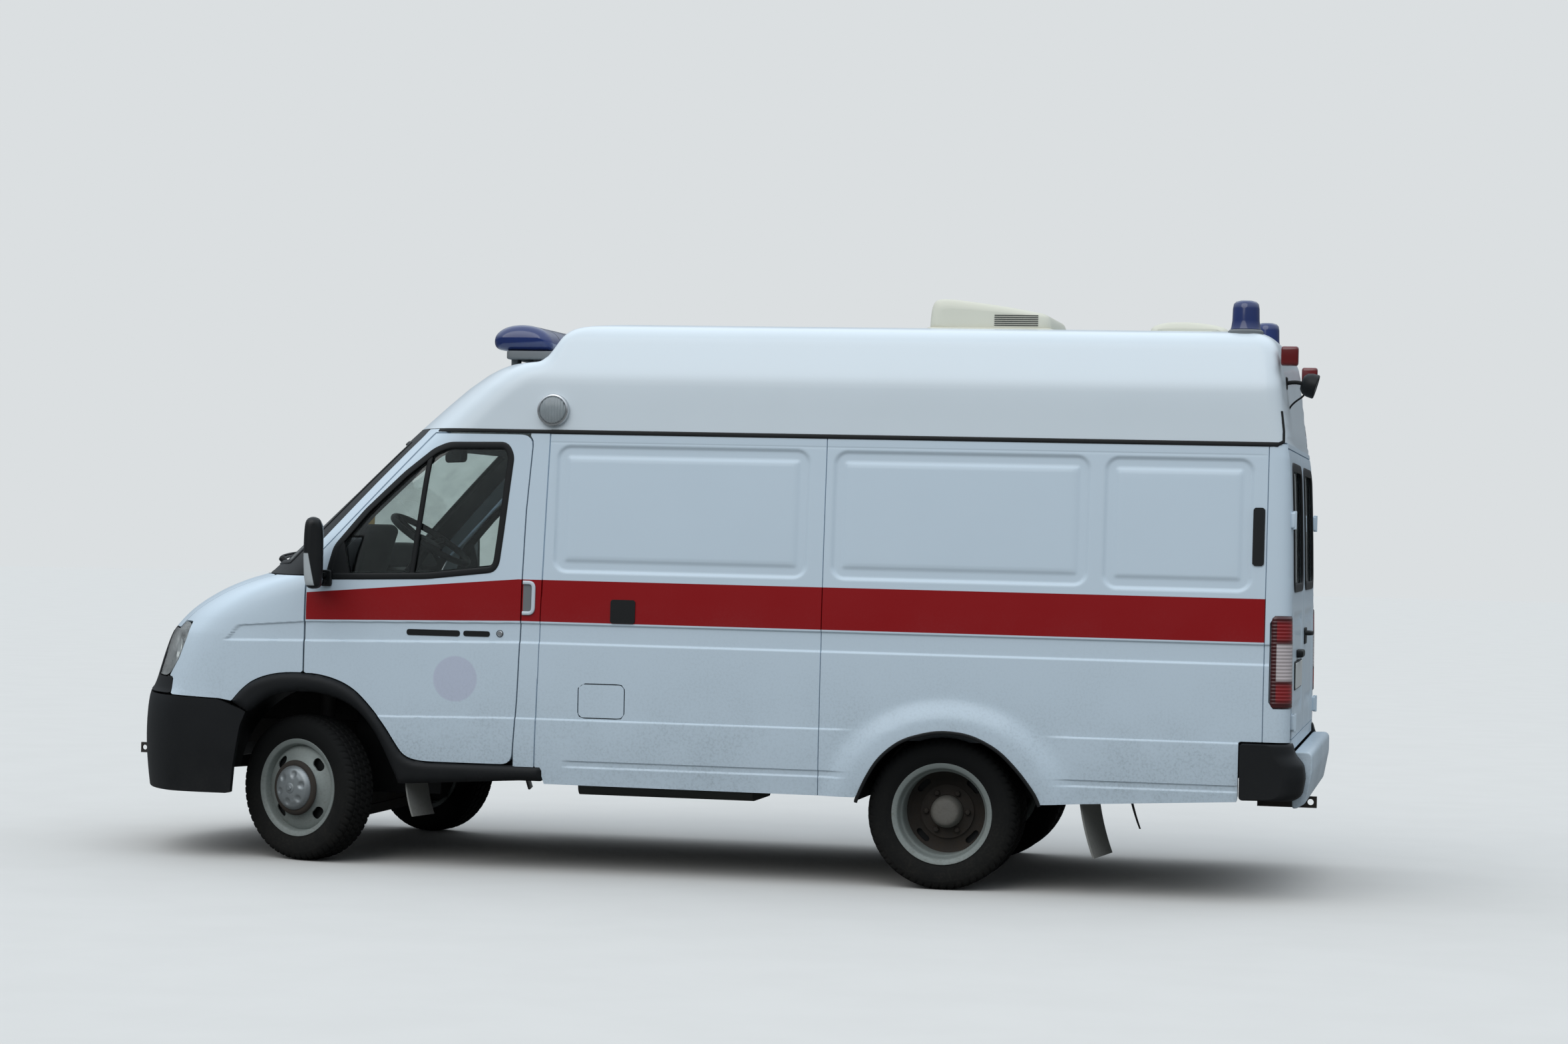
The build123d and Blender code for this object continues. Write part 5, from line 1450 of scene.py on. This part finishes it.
def add_light_bar():
    """Blue light bar with its seams, tray and feet, and the two beacons on their bases."""
    def beacons(profile):
        x, y, z = BEACON_PLACE
        return both(lambda side: turned(profile, (x, side * y, z), (0, 0, 1), 56))
    lens = slab(LIGHT_BAR, 1, -612, 612, 60, 9)
    domes = beacons([(64, 0), (66, 3), (63, 12), (59, 40), (57.5, 92), (54, 112), (44, 122), (26, 127), (5, 128)])
    add_piece("blue_lenses", merged(lens, domes), "blue_lamp", "body", "blue_lamps")
    seams = [slab(grown(LIGHT_BAR, 1.004), 1, y - 2.5, y + 2.5, 0.5, 2) for y in (-420, -215, 0, 215, 420)]
    add_piece("light_bar_seams", merged(*seams), "rubber", "body")
    feet = [block((776, -598, 2302), (1008, 598, 2341), 8, 26),
            beacons([(70, -170), (71, -40), (76, -36), (77, -8), (70, 0), (60, 2)])]
    for y in (-500, 500):
        for x, low in ((800, 2230), (905, 2270)):
            feet.append(block((x - 16, y - 34, low), (x + 16, y + 34, 2306), 5, 7))
            feet.append(block((x - 26, y - 46, low), (x + 26, y + 46, low + 24), 5, 7))
    feet.append(tube([(960, 300, 2310), (985, 300, 2296), (1000, 300, 2240)], 6))
    add_piece("lamp_feet", merged(*feet), "grey_plastic_and_pocket_shade", "body", "lamp_bases")


def add_roof_units():
    """Air unit with sloping top and side vents, and the low vent dome on its flange."""
    unit = rounded([
        (2955, 2440), (3244, 2440), (3246, 2480), (3244, 2522), (3226, 2552), (3150, 2566), (3020, 2588),
        (2880, 2606), (2790, 2617), (2730, 2617), (2704, 2600), (2692, 2540), (2690, 2440), (2955, 2440)])[:-1]
    dome = rounded([
        (3860, 2450), (4035, 2450), (4038, 2484), (4024, 2504), (3960, 2520), (3860, 2530), (3760, 2528),
        (3706, 2514), (3684, 2496), (3680, 2450), (3860, 2450)])[:-1]
    flange = block((2680, -342, 2462), (3254, 342, 2486), 6, 40)
    collar = block((3668, -252, 2452), (4048, 252, 2478), 6, 40)
    covers = merged(slab(unit, 1, -330, 330, 46, 8), slab(dome, 1, -240, 240, 46, 8), flange, collar)
    add_piece("roof_unit_covers", covers, "cream_plastic", "body", "roof_units")
    slots = [twinned(block((2990, -333, z), (3190, -326, z + 3.6), 1, 1.6, 1)) for z in np.arange(2496, 2545, 9)]
    add_piece("air_unit_slots", merged(*slots), "rubber", "body")


# Corner pieces and rear step


def add_bumper_corners():
    """Black corner pieces: a side outline, drawn round the rear corner in plan. Between them lies the step."""
    outline = cut_corners([
        (4184, 690), (4398, 690), (4412, 640), (4450, 596), (4458, 540), (4446, 466), (4412, 444), (4184, 440)], 16)
    quarter = np.linspace(0, np.pi / 2, 9)
    y = np.concatenate([1046 - 90 * (1 - np.cos(quarter)), [900, 858]])
    pull, soft = (np.concatenate([r * (1 - np.sin(quarter)), [0, 0]])[:, None] for r in (90, 8))
    rings = np.empty((len(y), len(outline), 3))
    rings[..., 0] = outline[:, 0] - pull * step(outline[:, 0], 4190, 4400)
    rings[..., 1] = -y[:, None]
    rings[..., 2] = 565 + (outline[:, 1] - 565) * (1 - soft / 125)
    add_piece("corner_pieces", twinned(lofted(rings)), "black_plastic", "body", "bumper_corners")
    outline = cut_corners([
        (4400, 500), (4400, 646), (4466, 648), (4482, 634), (4482, 560), (4458, 428), (4420, 404), (4400, 404)], 14)
    add_painted("rear_step", slab(outline, 1, -848, 848, 6), "body", "rear_bumper")


# Mirrors, handles and small fittings of the doors

MIRROR_SHAPE = rounded([
    (80, 1238), (112, 1240), (130, 1252), (135, 1300), (134, 1420), (130, 1510), (118, 1546), (92, 1558),
    (66, 1558), (42, 1546), (33, 1515), (30, 1420), (33, 1330), (40, 1262), (56, 1242), (80, 1238)])[:-1]
MIRROR_PIN, MIRROR_TOE, MIRROR_SHIFT = (84, -1125, 0), 19, (-22, 0, 0)


def add_mirror(side):
    """Mirror on two arms, its head toed in about its pin, and the glass on the head's rear."""
    name = side_name(side)
    door = "door_" + name
    head = slab(grown(MIRROR_SHAPE, (0.84, 1.0)), 1, -1250, -1072, 30, 9)
    face = slab(grown(MIRROR_SHAPE, (0.2, 0.84)) + (34, 0), 1, -1222, -1098, 16, 5)
    head, face = (swung(mesh, MIRROR_TOE, MIRROR_PIN, MIRROR_SHIFT) for mesh in (head, face))
    arms = [tube([(86, -1078, z), (86, -1050, z), (92, -1022, z)], 11) for z in (1268, 1300)]
    foot = block((66, -1046, 1248), (118, -1026, 1322), 6, 12, 1)
    housing = on_side_of(merged(head, *arms, foot), side)
    add_piece("mirror_housing_" + name, housing, "mirror_black", door, "mirror_" + name)
    add_piece("mirror_glass_" + name, on_side_of(face, side), "mirror_silver", door)


def add_door_fittings(side):
    """The door's two long vents, and its lock in a rubber ring."""
    name = side_name(side)
    door = "door_" + name
    vents = [skin_plate(side, oblong(*box, 12), 2, 12, 5) for box in ((472, 720, 1040, 1067), (736, 859, 1042, 1067))]
    add_rubber("door_vents_" + name, merged(*vents), door)
    skin, normal = on_side(side, 905, 1058)
    lock = turned([(13, -4), (13, 3), (10, 6), (3, 6)], skin, normal, 32)
    add_piece("door_lock_" + name, lock, "lamp_silver", door)
    ring = turned([(13, -4), (16, -4), (16, 2), (15, 3), (13, 2)], skin, normal, 32, True)
    add_rubber("lock_ring_" + name, ring, door)


def add_fuel_flap():
    """Flap with the skin's own curve, and the pocket behind it."""
    lines = ruler(1268, 1488, 10), ruler(692, 852, 10)
    flap = wall_of(side_surface(-1), [inside_outline(flap_outline(0), SIDE_VIEW)], lines, FLAP_WALL)
    add_painted("fuel_flap_panel", flap, "fuel_flap", "fuel_flap")
    (x0, x1), (z0, z1) = FLAP_X, FLAP_Z
    pocket = merged(block((x0 - 4, -1012, z0 - 4), (x1 + 4, -1004, z1 + 4), 2, 20, 1),
                    turned([(34, 0), (34, 12), (30, 16), (8, 16)], (1378, -1006, 772), (0, -1, 0), 32))
    add_piece("fuel_pocket", pocket, "inner_paint", "body")


HANDLE = (1004, 1065, 1144, 1296)


def add_side_fittings():
    """Black vents and square cover on the sides, and the handles behind the front doors: white rims round a flat grey
    plate, whose grey is painted shade of the handle's recess.
    """
    vents = both(lambda side: skin_plate(side, oblong(4218, 4268, 1442, 1690, 12), 5, 6, 10))
    cover = skin_plate(-1, oblong(1411, 1523, 1118, 1223, 10), 5, 6, 10)
    add_rubber("side_covers", merged(vents, cover), "body")
    x0, x1, z0, z1 = HANDLE
    corners = cut_corners([(x0 + 4, z1 - 8), (x1 - 8, z1 - 8), (x1 - 8, z0 + 8), (x0 + 4, z0 + 8)], 26, 6)
    rim = np.vstack([(x0 + 4, z1 - 8), corners[7:21], (x0 + 4, z0 + 8)])
    rims = both(lambda side: skin_bead(side, rim, 7, 0, bead(17, 13, 4)))
    add_piece("handle_rims", rims, "handle_white", "body")
    # Painted shade: the recess is not cut, and this flat grey plate 0.8 mm proud stands in for its shade.
    dish = oblong(x0 + 5, x1 - 5, z0 + 5, z1 - 5, 20)
    dishes = both(lambda side: skin_plate(side, dish, 0.8, 6, 5))
    add_piece("handle_pocket_shade", dishes, "grey_plastic_and_pocket_shade", "body")


def add_lining():
    """Plain lining of the load space: two walls and a ceiling."""
    walls = [block((1140, y - 4, 640), (4270, y + 4, 1946), 2) for y in (-908, 908)]
    ceiling = block((1140, -904, 1940), (4270, 904, 1948), 2)
    add_piece("load_space_lining", merged(*walls, ceiling), "inner_paint", "body")


def add_wipers():
    """Two wipers parked along the foot of the screen: arm, blade and pivot each."""
    meshes = []
    for pivot, tip in ((-560, 60), (130, 720)):
        path, up = on_screen(np.linspace(pivot, tip, 26), 1352 + 26 * np.linspace(0, 1, 26), 1250)
        meshes.append(swept(path + 22 * up, up, bead(13, 9, 4)))
        meshes.append(swept((path + 10 * up)[4:], up[4:], bead(6, 14, 7)))
        meshes.append(turned([(15, -16), (15, 18), (11, 24), (3, 25)], path[0], up[0], 24))
    add_rubber("wipers", merged(*meshes), "body")


# Inside the cab

# Name, middle, half width and head pad's place across the vehicle
SEATS = (("driver", -465, 250, -465), ("double", 465, 430, 250))
BACK_FOOT, BACK_TOP = (932, 1200), (1039, 1766)
PAD_STEPS, PAD_CAP, PAD_VOXEL, PAD_PRESSURE, PAD_FILL = 20, 24, 12, 4.0, 0.75


def crowned(mesh, rise, bolster):
    """Pad form whose top is lifted by rise times one less each way's share squared, and by the bolster times
    the cross share to the sixth towards the sides. Its sides are drawn in 3 % between the corners."""
    points, groups = mesh
    middle, half = (points.min(0) + points.max(0)) / 2, (points.max(0) - points.min(0)) / 2
    u, v, w = ((points - middle) / half).T
    top = np.clip(w, 0, 1)
    lift = top * (rise * (1 - u ** 2) * (1 - v ** 2) + bolster * np.abs(v) ** 6 * (1 - u ** 6))
    pull_u, pull_v = 1 - 0.03 * (1 - v ** 2), 1 - 0.03 * (1 - u ** 2)
    flat = middle[:2] + half[:2] * np.stack([u * pull_u, v * pull_v], -1)
    return np.column_stack([flat, points[:, 2] + lift]), groups


def seam_pins(points, y, half):
    """One beside the sewn seams of a pad: two along its length, and a third in the middle of a wide one."""
    across_pad = np.abs(points[:, 1] - y)
    near = np.abs(across_pad - 0.62 * half) < 0.6 * PAD_VOXEL
    if half > 300:
        near |= across_pad < 0.6 * PAD_VOXEL
    return near


def coordinates(mesh):
    """A mesh's points as an array, in metres."""
    flat = np.empty(3 * len(mesh.vertices))
    mesh.vertices.foreach_get("co", flat)
    return flat.reshape(-1, 3)


def evaluated_mesh(piece):
    """New mesh of a piece with its modifiers."""
    return bpy.data.meshes.new_from_object(piece.evaluated_get(bpy.context.evaluated_depsgraph_get()))


def begin_pad(name, mesh, y, half):
    """Pad remeshed to even cells, ready to swell between its pinned seams."""
    piece = add_piece(name, mesh, "seat_cover", "body")
    even = piece.modifiers.new("even_cells", "REMESH")
    even.mode, even.voxel_size, even.use_smooth_shade = "VOXEL", PAD_VOXEL * MM, True
    piece.data = evaluated_mesh(piece)
    piece.modifiers.clear()
    points = coordinates(piece.data) / MM - (ORIGIN_X, 0, 0)
    pinned = seam_pins(points, y, half) | (points[:, 2] < points[:, 2].min() + 6)
    pins = piece.vertex_groups.new(name="seams")
    pins.add(np.nonzero(pinned)[0].tolist(), 1.0, "REPLACE")
    cloth = piece.modifiers.new("swelling", "CLOTH")
    cloth.settings.use_pressure = True
    cloth.settings.uniform_pressure_force = PAD_PRESSURE
    cloth.settings.effector_weights.gravity = 0.0
    cloth.settings.vertex_group_mass = "seams"
    cloth.point_cache.frame_start, cloth.point_cache.frame_end = 1, PAD_STEPS
    return piece


def finish_pads(pieces):
    """Runs the swelling of all pads together, keeps each point's move within the cap, and smooths."""
    scene = bpy.context.scene
    for frame_number in range(1, PAD_STEPS + 1):
        scene.frame_set(frame_number)
    swollen = [coordinates(evaluated_mesh(piece)) for piece in pieces]
    scene.frame_set(1)
    for piece, after in zip(pieces, swollen):
        before = coordinates(piece.data)
        move = after - before
        far = np.linalg.norm(move, axis=1, keepdims=True)
        move *= np.minimum(1, PAD_CAP * MM / np.maximum(far, 1e-9))
        piece.modifiers.clear()
        piece.data.vertices.foreach_set("co", (before + move).ravel())
        piece.data.update()
    for piece in pieces:
        smooth = piece.modifiers.new("smooth", "SUBSURF")
        smooth.levels = smooth.render_levels = 1
        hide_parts("seat_cushions")


def add_seats():
    """Driver's seat and double seat: cushion, leaning back and head pad each, with the head pads' posts."""
    foot, top = np.array(BACK_FOOT, float), np.array(BACK_TOP, float)
    length = np.linalg.norm(top - foot)
    along = (top - foot) / length
    turn = np.array([[along[0], 0, -along[1]], [0, 1, 0], [along[1], 0, along[0]]])
    pads, posts = [], []
    for name, y, half, head_y in SEATS:
        wide = half - 16
        seat = crowned(block((530, y - wide, 1079), (972, y + wide, 1166), 30, 60), 12, 14)
        pads.append(begin_pad("seat_pad_" + name, seat, y, half))
        back = crowned(block((-length / 2, -wide, -38), (length / 2, wide, 38), 28, 70), 10, 14)
        back = moved(back, turn, ((foot[0] + top[0]) / 2, y, (foot[1] + top[1]) / 2))
        pads.append(begin_pad("back_pad_" + name, back, y, half))
        head = crowned(block((1022, head_y - 112, 1800), (1080, head_y + 112, 1916), 24, 26), 5, 0)
        pads.append(begin_pad("head_pad_%s_%d" % (name, len(pads)), head, head_y, 240))
        posts += [tube([(1036, head_y + d, 1750), (1048, head_y + d, 1806)], 6) for d in (-62, 62)]
    finish_pads(pads)
    add_piece("seat_posts", merged(*posts), "lamp_silver", "body")


def add_cab_fittings():
    """Hood over the instruments, shelf, mirror under the roof, and a plain note on the dashboard."""
    hood = [(-60, 1300), (-20, 1460), (40, 1526), (150, 1534), (178, 1508), (150, 1420), (120, 1296)]
    hood = slab(cut_corners(hood, 22), 1, -690, -230, 40, 6)
    shelf = [(-140, 1330), (-150, 1408), (-60, 1446), (60, 1440), (128, 1330)]
    shelf = slab(cut_corners(shelf, 22), 1, -226, 560, 30, 5)
    add_piece("instrument_hood", merged(hood, shelf), "dark_trim", "body")
    mirror = moved(block((-15, -120, -34), (15, 120, 34), 12, 26, 0), yaw(38), (380, -40, 1868))
    arm = tube([(205, -20, 1905), (300, -30, 1908), (372, -38, 1876)], 8)
    add_piece("cab_mirror", merged(mirror, arm), "dark_trim", "body")
    note = block((12, -301, 1530), (68, -299, 1580), 0.8, 3, 1)
    add_piece("dash_note", note, "note_paper", "body")


# Wheels

TYRE_PROFILE = rounded([
    (205, -72), (221, -77), (240, -86), (262, -92), (290, -91), (309, -84), (322, -74), (328, -60), (330, -30),
    (330, 0), (330, 30), (328, 60), (322, 74), (309, 84), (290, 91), (262, 92), (240, 86), (221, 77), (205, 72)])
PITCHES, GROOVES = 58, (-52, -19, 19, 52)


def tread_drop(radius, along, angle):
    """How far the tread lies below the tyre's plain form: four grooves round it, slots between the blocks
    that shift from row to row, and notches in the shoulders."""
    grooves = np.max([np.exp(-((along - g) / 3.6) ** 4) for g in GROOVES], axis=0) * 7
    row = np.digitize(along, GROOVES)
    share = angle * PITCHES / (2 * np.pi) + along * 0.012 + row * 0.37
    slot = np.exp(-(((share % 1) - 0.5) / 0.13) ** 4) * 5.5
    tread = np.clip((radius - 300) / 18, 0, 1)
    return np.maximum(grooves * (radius > 322), slot * tread)


def tyre(centre_y):
    """Tyre about the axle's line: the profile turned in many steps, with the tread cut into it."""
    steps = PITCHES * 8
    profile = np.vstack([along_line(TYRE_PROFILE, 4.6), [(205, 66), (205, -66)]])
    angle = np.linspace(0, 2 * np.pi, steps, endpoint=False)[:, None]
    radius, along = (np.broadcast_to(line, (steps, len(profile))) for line in profile.T)
    drop = tread_drop(radius, along, angle)
    ribs = 1.1 * np.exp(-((radius - 246) / 2.0) ** 2) + 1.3 * np.exp(-((radius - 296) / 2.2) ** 2)
    radius = radius - drop * (np.abs(along) < 90)
    along = along + np.sign(along) * ribs * (np.abs(along) > 80)
    rings = np.stack([radius * np.cos(angle), centre_y + along, AXLE_Z + radius * np.sin(angle)], -1)
    return lofted(rings, True)


BARREL = [
    (220, -82), (222, -79), (221, -74), (214, -71), (206, -70), (203, -62), (200, -30), (192, -14), (192, 14),
    (200, 30), (203, 62), (206, 70), (214, 71), (221, 74), (222, 79), (220, 82), (215, 81), (206, 78), (198, 74),
    (194, 60), (190, 34), (181, 20), (181, -20), (190, -34), (194, -60), (198, -74), (206, -78), (215, -81)]


def barrel(centre_y):
    """Rim's barrel with its two flanges."""
    return turned(rounded(BARREL + BARREL[:1])[:-1], (0, centre_y, AXLE_Z), (0, 1, 0), 96, True)


def about_axle(profile, y, steps=72, ring=True):
    """Outline of (radius, out) turned about the axle's line, outwards on the left from y."""
    return turned(profile, (0, y, AXLE_Z), (0, -1, 0), steps, ring)


def dished(profile, centre_y, slot_at, slot_long, slot_wide, thick):
    """Disc over radius and angle, its place along the axle read from a profile of (radius, out), with four
    slots at 45 degrees that are rounded oblongs bent round the centre."""
    line = rounded(profile)

    def surface(radius, angle):
        out = np.interp(radius, line[:, 0], line[:, 1])
        return np.stack([radius * np.cos(angle), centre_y - out, AXLE_Z + radius * np.sin(angle)], -1)

    def slots(p):
        radius = np.hypot(p[..., 0], p[..., 2] - AXLE_Z)
        angle = np.arctan2(p[..., 2] - AXLE_Z, p[..., 0])
        turn = (angle % (np.pi / 2)) - np.pi / 4
        long_way = np.clip(np.abs(turn * slot_at) - slot_long + slot_wide, 0, None)
        return slot_wide - np.hypot(long_way, radius - slot_at)
    r_lines = ruler(line[0, 0], line[-1, 0], 6, [(slot_at, slot_wide + 8, 3)])
    points, faces = trimmed(surface, slots, r_lines, np.linspace(0, 2 * np.pi, 193))
    points, faces = welded(points, faces)
    return shell(points, faces, points + (0, thick, 0))


def front_disc_meshes(y):
    """Front disc, rusty ring, hub cover with six dimples and nut, for the left wheel."""
    disc = dished([(84, 96), (104, 95), (116, 88), (130, 74), (148, 63), (164, 57), (178, 51), (190, 44), (198, 36)],
                  y, 154, 33, 19, 7)
    ring = [(90, 92), (124, 88), (126, 92), (118, 101), (108, 104), (98, 102), (90, 92)]
    rust = about_axle(rounded(ring)[:-1], y)
    radius = np.concatenate([[4], np.linspace(14, 92, 19), [97, 100, 101, 101]])
    out = np.interp(radius, [0, 30, 64, 86, 96, 100, 101.1], [131, 131, 128, 121, 112, 106, 100])
    out[-1] = 92
    angle = np.linspace(0, 2 * np.pi, 96, endpoint=False)[:, None]
    flat_x, flat_z = radius * np.cos(angle), radius * np.sin(angle)
    near = np.min([np.hypot(flat_x - 64 * math.cos(a), flat_z - 64 * math.sin(a))
                   for a in np.radians(np.arange(15, 375, 60))], axis=0)
    lift = out - 7 * np.exp(-(near / 14) ** 4)
    cover = lofted(np.stack([flat_x, y - lift, AXLE_Z + flat_z], -1).transpose(1, 0, 2))
    nut = merged(about_axle([(13, 124), (13, 136), (10, 139), (2, 139)], y, 6, False),
                 about_axle([(24, 126), (24, 132), (20, 134), (4, 134)], y, 40, False))
    return disc, rust, cover, nut


def steered(mesh, side):
    """Front wheel mesh turned over for the right side, then steered about its kingpin."""
    return swung(on_side_of(mesh, side), -STEER_DEG, (0, side * KINGPIN_Y, 0))


def add_front_wheel(side):
    """Front wheel: rim with its disc, rusty ring, drum, hub cover with its nut, and the tyre."""
    name = side_name(side)
    wheel = "wheel_front_" + name
    y = -FRONT_WHEEL_Y
    disc, rust, cover, nut = front_disc_meshes(y)
    drum = about_axle([(88, 32), (186, 32), (186, 37), (88, 37)], y)
    for label, mesh, finish in (
            ("front_wheel_", merged(barrel(y), disc), "rim_paint"), ("front_hub_ring_", rust, "rusty_steel"),
            ("front_drum_", drum, "rubber"), ("front_hub_cover_", cover, "cover_silver"),
            ("front_hub_nut_", nut, "cover_silver")):
        add_piece(label + name, steered(mesh, side), finish, wheel, "front_rim_" + name)
    tread = steered(tyre(y), side)
    add_piece("front_tread_" + name, tread, "tyre_rubber", wheel, "front_tyre_" + name, 30)


def add_rear_wheels(side):
    """Twin rear wheels: two rims joined by a web, dished disc with ring and nuts, hub, drum and two tyres."""
    name = side_name(side)
    wheel = "wheels_rear_" + name
    middle = -sum(TWIN_Y) / 2
    disc = dished([(62, 16), (100, 14), (118, 6), (140, -2), (160, -4), (176, 0), (187, 8), (190, 14)],
                  middle, 156, 36, 13, 9)
    reach = (TWIN_Y[1] - TWIN_Y[0]) / 2 - 8
    web = turned([(182, -reach), (190, -reach), (190, reach), (182, reach)], (0, middle, AXLE_Z), (0, 1, 0), 72, True)
    rim = merged(*[barrel(-y) for y in TWIN_Y], web)
    studs = [turned([(13, 0), (13, 20), (10, 24), (3, 26)],
                    (92 * math.cos(a), middle - 14, AXLE_Z + 92 * math.sin(a)), (0, -1, 0), 6)
             for a in np.radians(np.arange(0, 360, 60))]
    collar = about_axle([(118, 10), (118, 16), (84, 22), (74, 26), (70, 20), (70, 10)], middle)
    hub = about_axle(rounded([(72, 14), (72, 34), (68, 62), (61, 80), (54, 91), (30, 95), (4, 95)], 1), middle,
                     72, False)
    drum = turned([(64, 0), (178, 0), (178, 5), (64, 5)], (0, middle + 26, AXLE_Z), (0, 1, 0), 72, True)

    def in_place(mesh):
        return on_side_of(moved(mesh, shift=(WHEELBASE, 0, 0)), side)
    for label, mesh, finish in (
            ("twin_wheels_", rim, "rim_paint"), ("twin_disc_", merged(disc, collar, *studs), "rusty_steel"),
            ("twin_hub_", hub, "hub_grey"), ("twin_drum_", drum, "rubber")):
        add_piece(label + name, in_place(mesh), finish, wheel, "twin_rims_" + name)
    for label, y in zip(("inner", "outer"), TWIN_Y):
        add_piece("twin_tread_%s_%s" % (label, name), in_place(tyre(-y)), "tyre_rubber", wheel,
                  "twin_tyres_" + name, 30)


# Camera, light and floor

CAMERA_PLACE = (3.441, -15.599, 1.531)
CAMERA_YAW, CAMERA_PITCH, CAMERA_ROLL = 0.2016, 0.0035, 0.0235
FOCAL_SHARE = 5110.5 / 2356
SENSOR_WIDTH = 36.0


def add_camera():
    """Camera at the photograph's place: yaw about Z, pitch up, then roll about its own line of sight."""
    camera = bpy.data.cameras.new("view_camera")
    camera.sensor_width = SENSOR_WIDTH
    camera.lens = FOCAL_SHARE * SENSOR_WIDTH
    piece = bpy.data.objects.new("view_camera", camera)
    sin_yaw, cos_yaw = math.sin(CAMERA_YAW), math.cos(CAMERA_YAW)
    sin_pitch, cos_pitch = math.sin(CAMERA_PITCH), math.cos(CAMERA_PITCH)
    ahead = np.array([-sin_yaw * cos_pitch, cos_yaw * cos_pitch, sin_pitch])
    right = np.array([cos_yaw, sin_yaw, 0.0])
    up = np.cross(right, ahead)
    c, s = math.cos(CAMERA_ROLL), math.sin(CAMERA_ROLL)
    right, up = c * right + s * up, c * up - s * right
    turn = Matrix(np.column_stack([right, up, -ahead]).tolist())
    piece.matrix_world = Matrix.Translation(CAMERA_PLACE) @ turn.to_4x4()
    bpy.context.scene.collection.objects.link(piece)
    bpy.context.scene.camera = piece


def add_sun(name, aim, spread, strength, colour):
    """Broad soft sun that shines along aim."""
    light = bpy.data.lights.new(name, "SUN")
    light.angle, light.energy, light.color = math.radians(spread), strength, colour
    piece = bpy.data.objects.new(name, light)
    piece.rotation_mode = "QUATERNION"
    piece.rotation_quaternion = Vector(aim).to_track_quat("-Z", "Y")
    bpy.context.scene.collection.objects.link(piece)


def shown_or_lit(tree, shown, lit):
    """Mix of two shaders: the first where the camera looks, straight or through glass, the second elsewhere."""
    path = tree.nodes.new("ShaderNodeLightPath")
    either = math_node(tree, "MAXIMUM", path.outputs["Is Camera Ray"], path.outputs["Is Transmission Ray"])
    blend = tree.nodes.new("ShaderNodeMixShader")
    for socket, value in zip(blend.inputs, (either, lit, shown)):
        tree.links.new(value, socket)
    return blend.outputs[0]


SKY_SEEN, SKY_LIGHT, SKY_STRENGTH = (219, 223, 225), (0.84, 0.92, 1.0, 1), (0.12, 1.32)
FLOOR_TONES, FLOOR_LIT, FLOOR_RADIUS = ((211, 209, 205), (213, 211, 207)), (120, 120, 118), 90


def add_sky():
    """Pale sky whose light comes mostly from overhead."""
    world = bpy.data.worlds.new("soft_sky")
    bpy.context.scene.world = world
    world.use_nodes = True
    tree = world.node_tree
    lit, shown = tree.nodes["Background"], tree.nodes.new("ShaderNodeBackground")
    shown.inputs["Color"].default_value = linear(SKY_SEEN)
    lit.inputs["Color"].default_value = SKY_LIGHT
    height = axes_of(tree, tree.nodes.new("ShaderNodeTexCoord").outputs["Generated"])[2]
    tree.links.new(map_range(tree, height, 0.0, 0.8, *SKY_STRENGTH), lit.inputs["Strength"])
    sky = shown_or_lit(tree, shown.outputs[0], lit.outputs[0])
    tree.links.new(sky, tree.nodes["World Output"].inputs["Surface"])


def add_floor():
    """Pale floor disc."""
    turn = np.linspace(0, 2 * np.pi, 96, endpoint=False)
    disc = np.stack([FLOOR_RADIUS * np.cos(turn), FLOOR_RADIUS * np.sin(turn), np.zeros_like(turn)], -1)
    mesh = bpy.data.meshes.new("floor")
    mesh.from_pydata(disc.tolist(), [], [list(range(len(turn)))])
    material, tree, shown = new_material("floor_paint")
    lit = tree.nodes.new("ShaderNodeBsdfDiffuse")
    shown.inputs["Roughness"].default_value = 1.0
    shown.inputs["Specular IOR Level"].default_value = 0.0
    lit.inputs["Color"].default_value = linear(FLOOR_LIT)
    cloud = map_range(tree, noise(tree, object_place(tree), 2.2, 6.0), 0.3, 0.7)
    tree.links.new(mix_colour(tree, cloud, *map(linear, FLOOR_TONES)), shown.inputs["Base Color"])
    paint = shown_or_lit(tree, shown.outputs[0], lit.outputs[0])
    tree.links.new(paint, tree.nodes["Material Output"].inputs[0])
    mesh.materials.append(material)
    floor = bpy.data.objects.new("floor", mesh)
    bpy.context.scene.collection.objects.link(floor)


bpy.context.scene.view_settings.view_transform = "Standard"
add_camera()
add_sky()
add_floor()
add_sun("key_sun", (0.3, 1.0, -0.85), 50, 0.75, (1.0, 0.985, 0.96))
dress_frame()
for side in SIDES:
    side_panel(side)
    front_door_panel(side)
    wing_panel(side)
    add_door_glass(side)
    add_mirror(side)
    add_door_fittings(side)
    add_rear_door(side)
    add_front_wheel(side)
    add_rear_wheels(side)
sliding_door_panel()
roof_cap()
bonnet_panel()
front_bumper_shell()
add_radiator()
add_cheeks()
grille_frame()
add_trim()
rubber_edges()
add_cab_frame()
add_windscreen()
add_rear_fittings()
add_tail_lamps()
add_headlamps()
add_roof_lamps()
add_light_bar()
add_roof_units()
add_bumper_corners()
add_fuel_flap()
add_side_fittings()
add_lining()
add_wipers()
add_seats()
add_cab_fittings()
